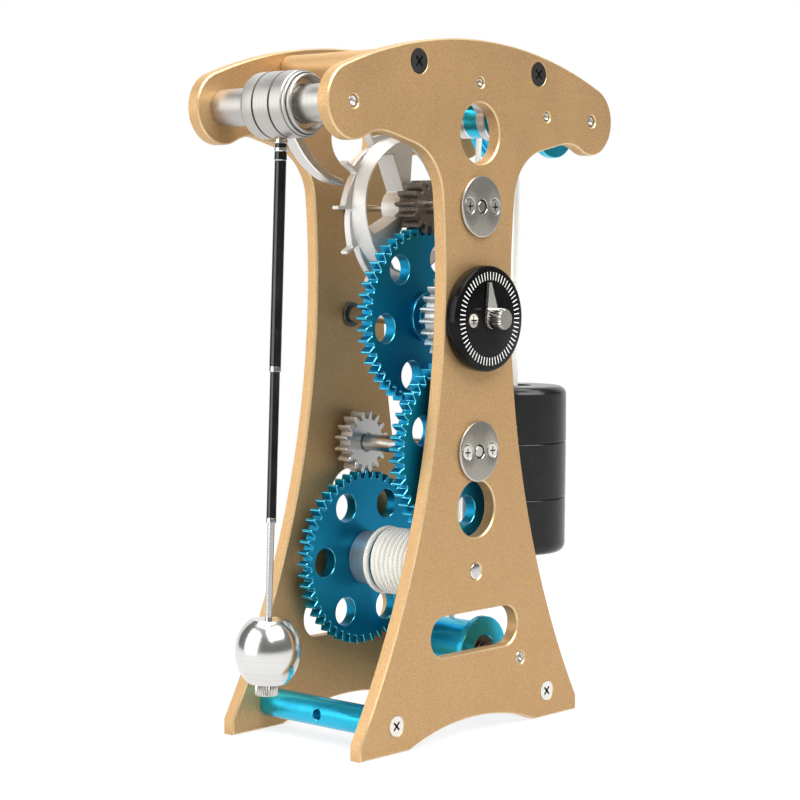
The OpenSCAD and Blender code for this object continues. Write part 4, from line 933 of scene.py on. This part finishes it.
def lathe_data(profile, centre, axis, segments, start):
    """Points, faces and tones of a turned profile of (radius, distance along the axis)."""
    axis = Vector(axis).normalized()
    side = axis.orthogonal().normalized()
    points, faces, tones, rows = [], [], [], []
    for entry in profile:
        r, at = entry[0], centre + entry[1] * axis
        rows.append((start + len(points), r < ON_AXIS))
        points += [at] if r < ON_AXIS else circle(at, side, axis.cross(side), [r] * segments)
    for entry, (a, a_tip), (b, b_tip) in zip(profile, rows, rows[1:]):
        if a_tip:
            faces += fan(a, b, segments)
        elif b_tip:
            faces += fan(b, a, segments, True)
        else:
            faces += quads(a, b, segments)
        tones += [entry[2] if len(entry) > 2 else 0] * segments
    return points, faces, tones


def lathe(name, profiles, body, looks, stands_for, slot, segments=96):
    """One piece from turned profiles, each with its centre and axis; sizes in mm."""
    points, faces, tones = [], [], []
    for profile, centre, axis in profiles:
        scaled = [(e[0] * MM, e[1] * MM) + tuple(e[2:]) for e in profile]
        p, f, t = lathe_data(scaled, Vector(centre), axis, segments, len(points))
        points += p
        faces += f
        tones += t
    return add_piece(name, mesh_from(name, points, faces, tones), body, looks, (stands_for,),
                     slot)


print("lathe ready")

# %% Collar and its bearings
# Sizes in mm. Y runs from the front of the bar to the back.


def across(name):
    """Radius and both ends along Y of a ring on the pivot's axis."""
    low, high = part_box(name)
    return (high.x - low.x) / 2 / MM, (low.y - PIVOT.y) / MM, (high.y - PIVOT.y) / MM


BAR_R = across("pendulum_bar")[0]
SEAT_R, seat_front, seat_back = across("collar_bearings")
COLLAR_R, front, back = across("pendulum_collar")
# A thin lip and a broader ring at the front, two grooves, and a round edge at the back. The steps
# behind the lip and the ring and the walls of the grooves take material 1, a painted shade
SEAT_W, BAR_GAP, SEAT_GAP = 3.0, 0.4, 0.02
LIP_R, LIP_END, LIP_STEP = 7.8, 1.1, 0.05
RING_R, RING_END, RING_STEP = 8.4, 2.2, 0.1
EDGE, EASE, REAR_ROUND, ROUND_STEPS = 0.3, 0.25, 1.6, 8
GROOVES, GROOVE_HALF, GROOVE_DEEP = (6.7, 12.6), 0.35, 0.45
collar = [(BAR_R + BAR_GAP, seat_front + SEAT_W), (SEAT_R + SEAT_GAP, seat_front + SEAT_W),
          (SEAT_R + SEAT_GAP, front + EDGE), (SEAT_R + EDGE, front), (LIP_R - EDGE, front),
          (LIP_R, front + EDGE), (LIP_R, front + LIP_END, 1),
          (RING_R - EASE, front + LIP_END + LIP_STEP),
          (RING_R, front + LIP_END + LIP_STEP + EASE), (RING_R, front + RING_END, 1),
          (COLLAR_R - EASE, front + RING_END + RING_STEP),
          (COLLAR_R, front + RING_END + RING_STEP + EASE)]
for at in GROOVES:
    collar += [(COLLAR_R, front + at - GROOVE_HALF, 1), (COLLAR_R - GROOVE_DEEP, front + at, 1),
               (COLLAR_R, front + at + GROOVE_HALF)]
for k in range(ROUND_STEPS + 1):
    a = math.pi / 2 * k / ROUND_STEPS
    collar.append((COLLAR_R - REAR_ROUND * (1 - math.cos(a)),
                   back - REAR_ROUND * (1 - math.sin(a))))
collar += [(SEAT_R + SEAT_GAP, back), (SEAT_R + SEAT_GAP, seat_back - SEAT_W),
           (BAR_R + BAR_GAP, seat_back - SEAT_W), (BAR_R + BAR_GAP, seat_front + SEAT_W)]
lathe("collar_turned", [(collar, PIVOT, (0, 1, 0))], "pendulum", [collar_metal, painted_groove_shade],
      "pendulum_collar", "bare_aluminium", segments=160)
# A race stands clear of the bar and of its seat's end, and all its edges are cut
BORE_R, RACE_W, CUT, FRONT_CUT = BAR_R + 0.1, SEAT_W - 0.05, 0.1, 0.15
races = []
for a, b in ((seat_front, seat_front + RACE_W), (seat_back - RACE_W, seat_back)):
    races.append(([(BORE_R, a + CUT), (BORE_R + CUT, a), (SEAT_R - FRONT_CUT, a),
                   (SEAT_R, a + FRONT_CUT), (SEAT_R, b - CUT), (SEAT_R - CUT, b),
                   (BORE_R + CUT, b), (BORE_R, b - CUT), (BORE_R, a + CUT)], PIVOT, (0, 1, 0)))
lathe("collar_bearings_ground", races, "pendulum", [bright_steel_and_cut_highlight], "collar_bearings", "satin_steel")
print("collar:", round(back - front, 1), "mm long,", round(2 * COLLAR_R, 1), "mm across")

# %% Fitting and rod
# Radius and distance from the pivot in mm, and the metal of the band that follows
ROD_TOP = Vector((PIVOT.x, 0, PIVOT.z))
FITTING = [(0, 7.4), (1.5, 7.4, 1), (1.5, 8.9), (1.85, 9.1), (1.85, 9.9), (1.55, 10.1, 2),
           (1.55, 11.2), (1.8, 11.4), (1.8, 12.0), (1.6, 12.2, 2), (1.7, 14.4), (1.5, 14.6),
           (0, 14.6)]
lathe("rod_fitting_polished", [(FITTING, ROD_TOP, DOWN)], "pendulum",
      [chrome, brass, rod_black], "rod_fitting", "polished", segments=64)
ROD_SHORT = 0.02
ROD_END = (PIVOT.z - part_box("pendulum_rod")[0].z) / MM / math.cos(LEAN) - ROD_SHORT
ROD = [(0, 14.5), (1.5, 14.5), (1.55, 14.7), (1.55, 68.6, 1), (1.6, 68.7, 1), (1.6, 69.9, 1),
       (1.5, 70.0, 1), (1.3, 70.0), (1.3, 108.6, 1), (1.36, 108.7, 1), (1.36, 109.9, 1),
       (1.25, 110.0, 1), (0.95, 110.0, 1), (0.95, ROD_END - 0.3, 1), (0.65, ROD_END, 1),
       (0, ROD_END)]
lathe("rod_telescoping", [(ROD, ROD_TOP, DOWN)], "pendulum", [rod_black, rod_steel],
      "pendulum_rod", "gloss_black", segments=64)
print("rod ends", round(ROD_END, 1), "mm from the pivot")

# %% Bob and rating nut
# The bob is an ellipse with both ends cut flat, bored for the rod and countersunk at its top
BOB_R, BOB_LONG, BOB_HALF, BOB_BORE, BOB_STEPS = 8.8, 10.3, 8.5, 0.96, 64
SINK_R, SINK_DEEP, LIP_W, LIP_HIGH = 2.4, 0.25, 0.2, 0.02
flat_at = math.asin(BOB_HALF / BOB_LONG)
bob = [(BOB_BORE, -BOB_HALF)]
for i in range(BOB_STEPS + 1):
    a = -flat_at + 2 * flat_at * i / BOB_STEPS
    bob.append((BOB_R * math.cos(a), BOB_LONG * math.sin(a)))
bob += [(SINK_R + LIP_W, BOB_HALF + LIP_HIGH), (SINK_R, BOB_HALF - SINK_DEEP),
        (BOB_BORE, BOB_HALF - SINK_DEEP)]
lathe("bob_polished", [(bob, CENTRE_OF["bob"], DOWN)], "bob", [bob_metal], "bob", "polished",
      segments=128)
NUT_R, NUT_HIGH = 3.1 * MM, 3.2 * MM
knurled("rating_nut_knurled", "rating_nut", "nut", DOWN,
        CENTRE_OF["rating_nut"] - NUT_HIGH / 2 * DOWN, NUT_R, NUT_HIGH, ridges=26,
        depth=0.36 * MM, bore=1.0 * MM)
print("pendulum made")

# %% [markdown]
# ## The escapement's arms
# Bright blades on the collar and on the detent's hub take the push of the escape wheel and lock it
# again. Their curves are already in the solids, and a blade is known by its cut edge, so they are
# dressed as the wheels were.

# %% Impulse arm, release arm and detent
# Their cut edges take the lighter bare metal, a painted highlight
for name, width in (("impulse_arm", 0.3), ("release_arm", 0.25), ("detent_levers", 0.25)):
    refined(name + "_cut", name, width, [bare, bare_cut_highlight], "bare_aluminium")
refined("detent_hub_turned", "detent_hub", 0.2, [teal_turned["detent"], teal_cut_highlight],
        "teal_anodised")
print("escapement made")

# %% [markdown]
# ## Floor, backdrop and light
# The object stands on a white sweep, under three soft boxes: one at the left, one over the dial
# and one above. Stronger lamps would make the floor white, but also bleach the object. So the
# floor glows for the camera and in reflections, fully from 0.45 m out and a little less close
# by, where its own shading still shows and keeps the object's shadow.

# %% White sweep
WHITE_CLOSE, CLOSE_BY, FAR_OUT = 0.8, 0.25, 0.45
floor_white, tree, shader = blank_material("stage_white", 0.0, 0.9)
shader.inputs["Base Color"].default_value = (0.92, 0.92, 0.92, 1)
paths = node(tree, "ShaderNodeLightPath")
glow = node(tree, "ShaderNodeEmission", Strength=1.0)
seen = math_node(tree, "MAXIMUM", paths.outputs["Is Camera Ray"],
                 math_node(tree, "MAXIMUM", paths.outputs["Is Glossy Ray"],
                           paths.outputs["Is Transmission Ray"]))
mix = node(tree, "ShaderNodeMixShader")
spot = node(tree, "ShaderNodeTexCoord")
away = node(tree, "ShaderNodeVectorMath", operation="LENGTH")
link(tree, spot.outputs["Object"], away.inputs[0])
white = spread(tree, away.outputs["Value"], WHITE_CLOSE, 1.0, CLOSE_BY, FAR_OUT)
link(tree, math_node(tree, "MULTIPLY", seen, white), mix.inputs[0])
link(tree, shader.outputs[0], mix.inputs[1])
link(tree, glow.outputs[0], mix.inputs[2])
link(tree, mix.outputs[0], tree.nodes["Material Output"].inputs["Surface"])

# The floor runs back, bends up in a quarter circle and ends in a wall
HALF, RISE, BEND_AT, BEND_R, BEND_STEPS, FLOOR_GAP = 3.0, 3.0, 1.6, 0.9, 12, 0.2 * MM
rows = [(-HALF, 0.0)]
for k in range(BEND_STEPS + 1):
    a = math.pi / 2 * k / BEND_STEPS
    rows.append((BEND_AT + BEND_R * math.sin(a), BEND_R - BEND_R * math.cos(a)))
rows.append((BEND_AT + BEND_R, RISE))
ahead = Vector((forward.x, forward.y, 0)).normalized()
points = [ahead * reach + level * s + Vector((0, 0, height - FLOOR_GAP))
          for reach, height in rows for s in (-HALF, HALF)]
faces = [(2 * k, 2 * k + 1, 2 * k + 3, 2 * k + 2) for k in range(len(rows) - 1)]
sweep = add_piece("stage_sweep", mesh_from("stage_sweep", points, faces), None, [floor_white],
                  smooth=40)
print("sweep:", len(faces), "faces")

# %% World and soft boxes
world = bpy.data.worlds.new("studio")
bpy.context.scene.world = world
world.use_nodes = True
sky = world.node_tree.nodes["Background"]
sky.inputs["Color"].default_value = (1, 1, 1, 1)
sky.inputs["Strength"].default_value = 0.2


def soft_box(name, place, size, power):
    """An area lamp, with a size in metres and a power in watts, that faces the object."""
    data = bpy.data.lights.new(name, "AREA")
    data.shape = "RECTANGLE"
    data.size, data.size_y = size
    data.energy = power
    lamp = bpy.data.objects.new(name, data)
    bpy.context.scene.collection.objects.link(lamp)
    lamp.location = place
    lamp.rotation_euler = (AIM - Vector(place)).to_track_quat("-Z", "Y").to_euler()


AIM = Vector((0, 0, 0.1))
soft_box("left_box", (-0.95, 0.3, 0.4), (0.9, 1.2), 12)
soft_box("dial_box", (-0.1, -0.85, 1.1), (1.3, 0.8), 25)
soft_box("top_box", (0.0, 0.15, 1.2), (1.0, 0.8), 13)
bpy.context.scene.view_settings.view_transform = "Standard"
print("lamps:", len(bpy.data.lights))
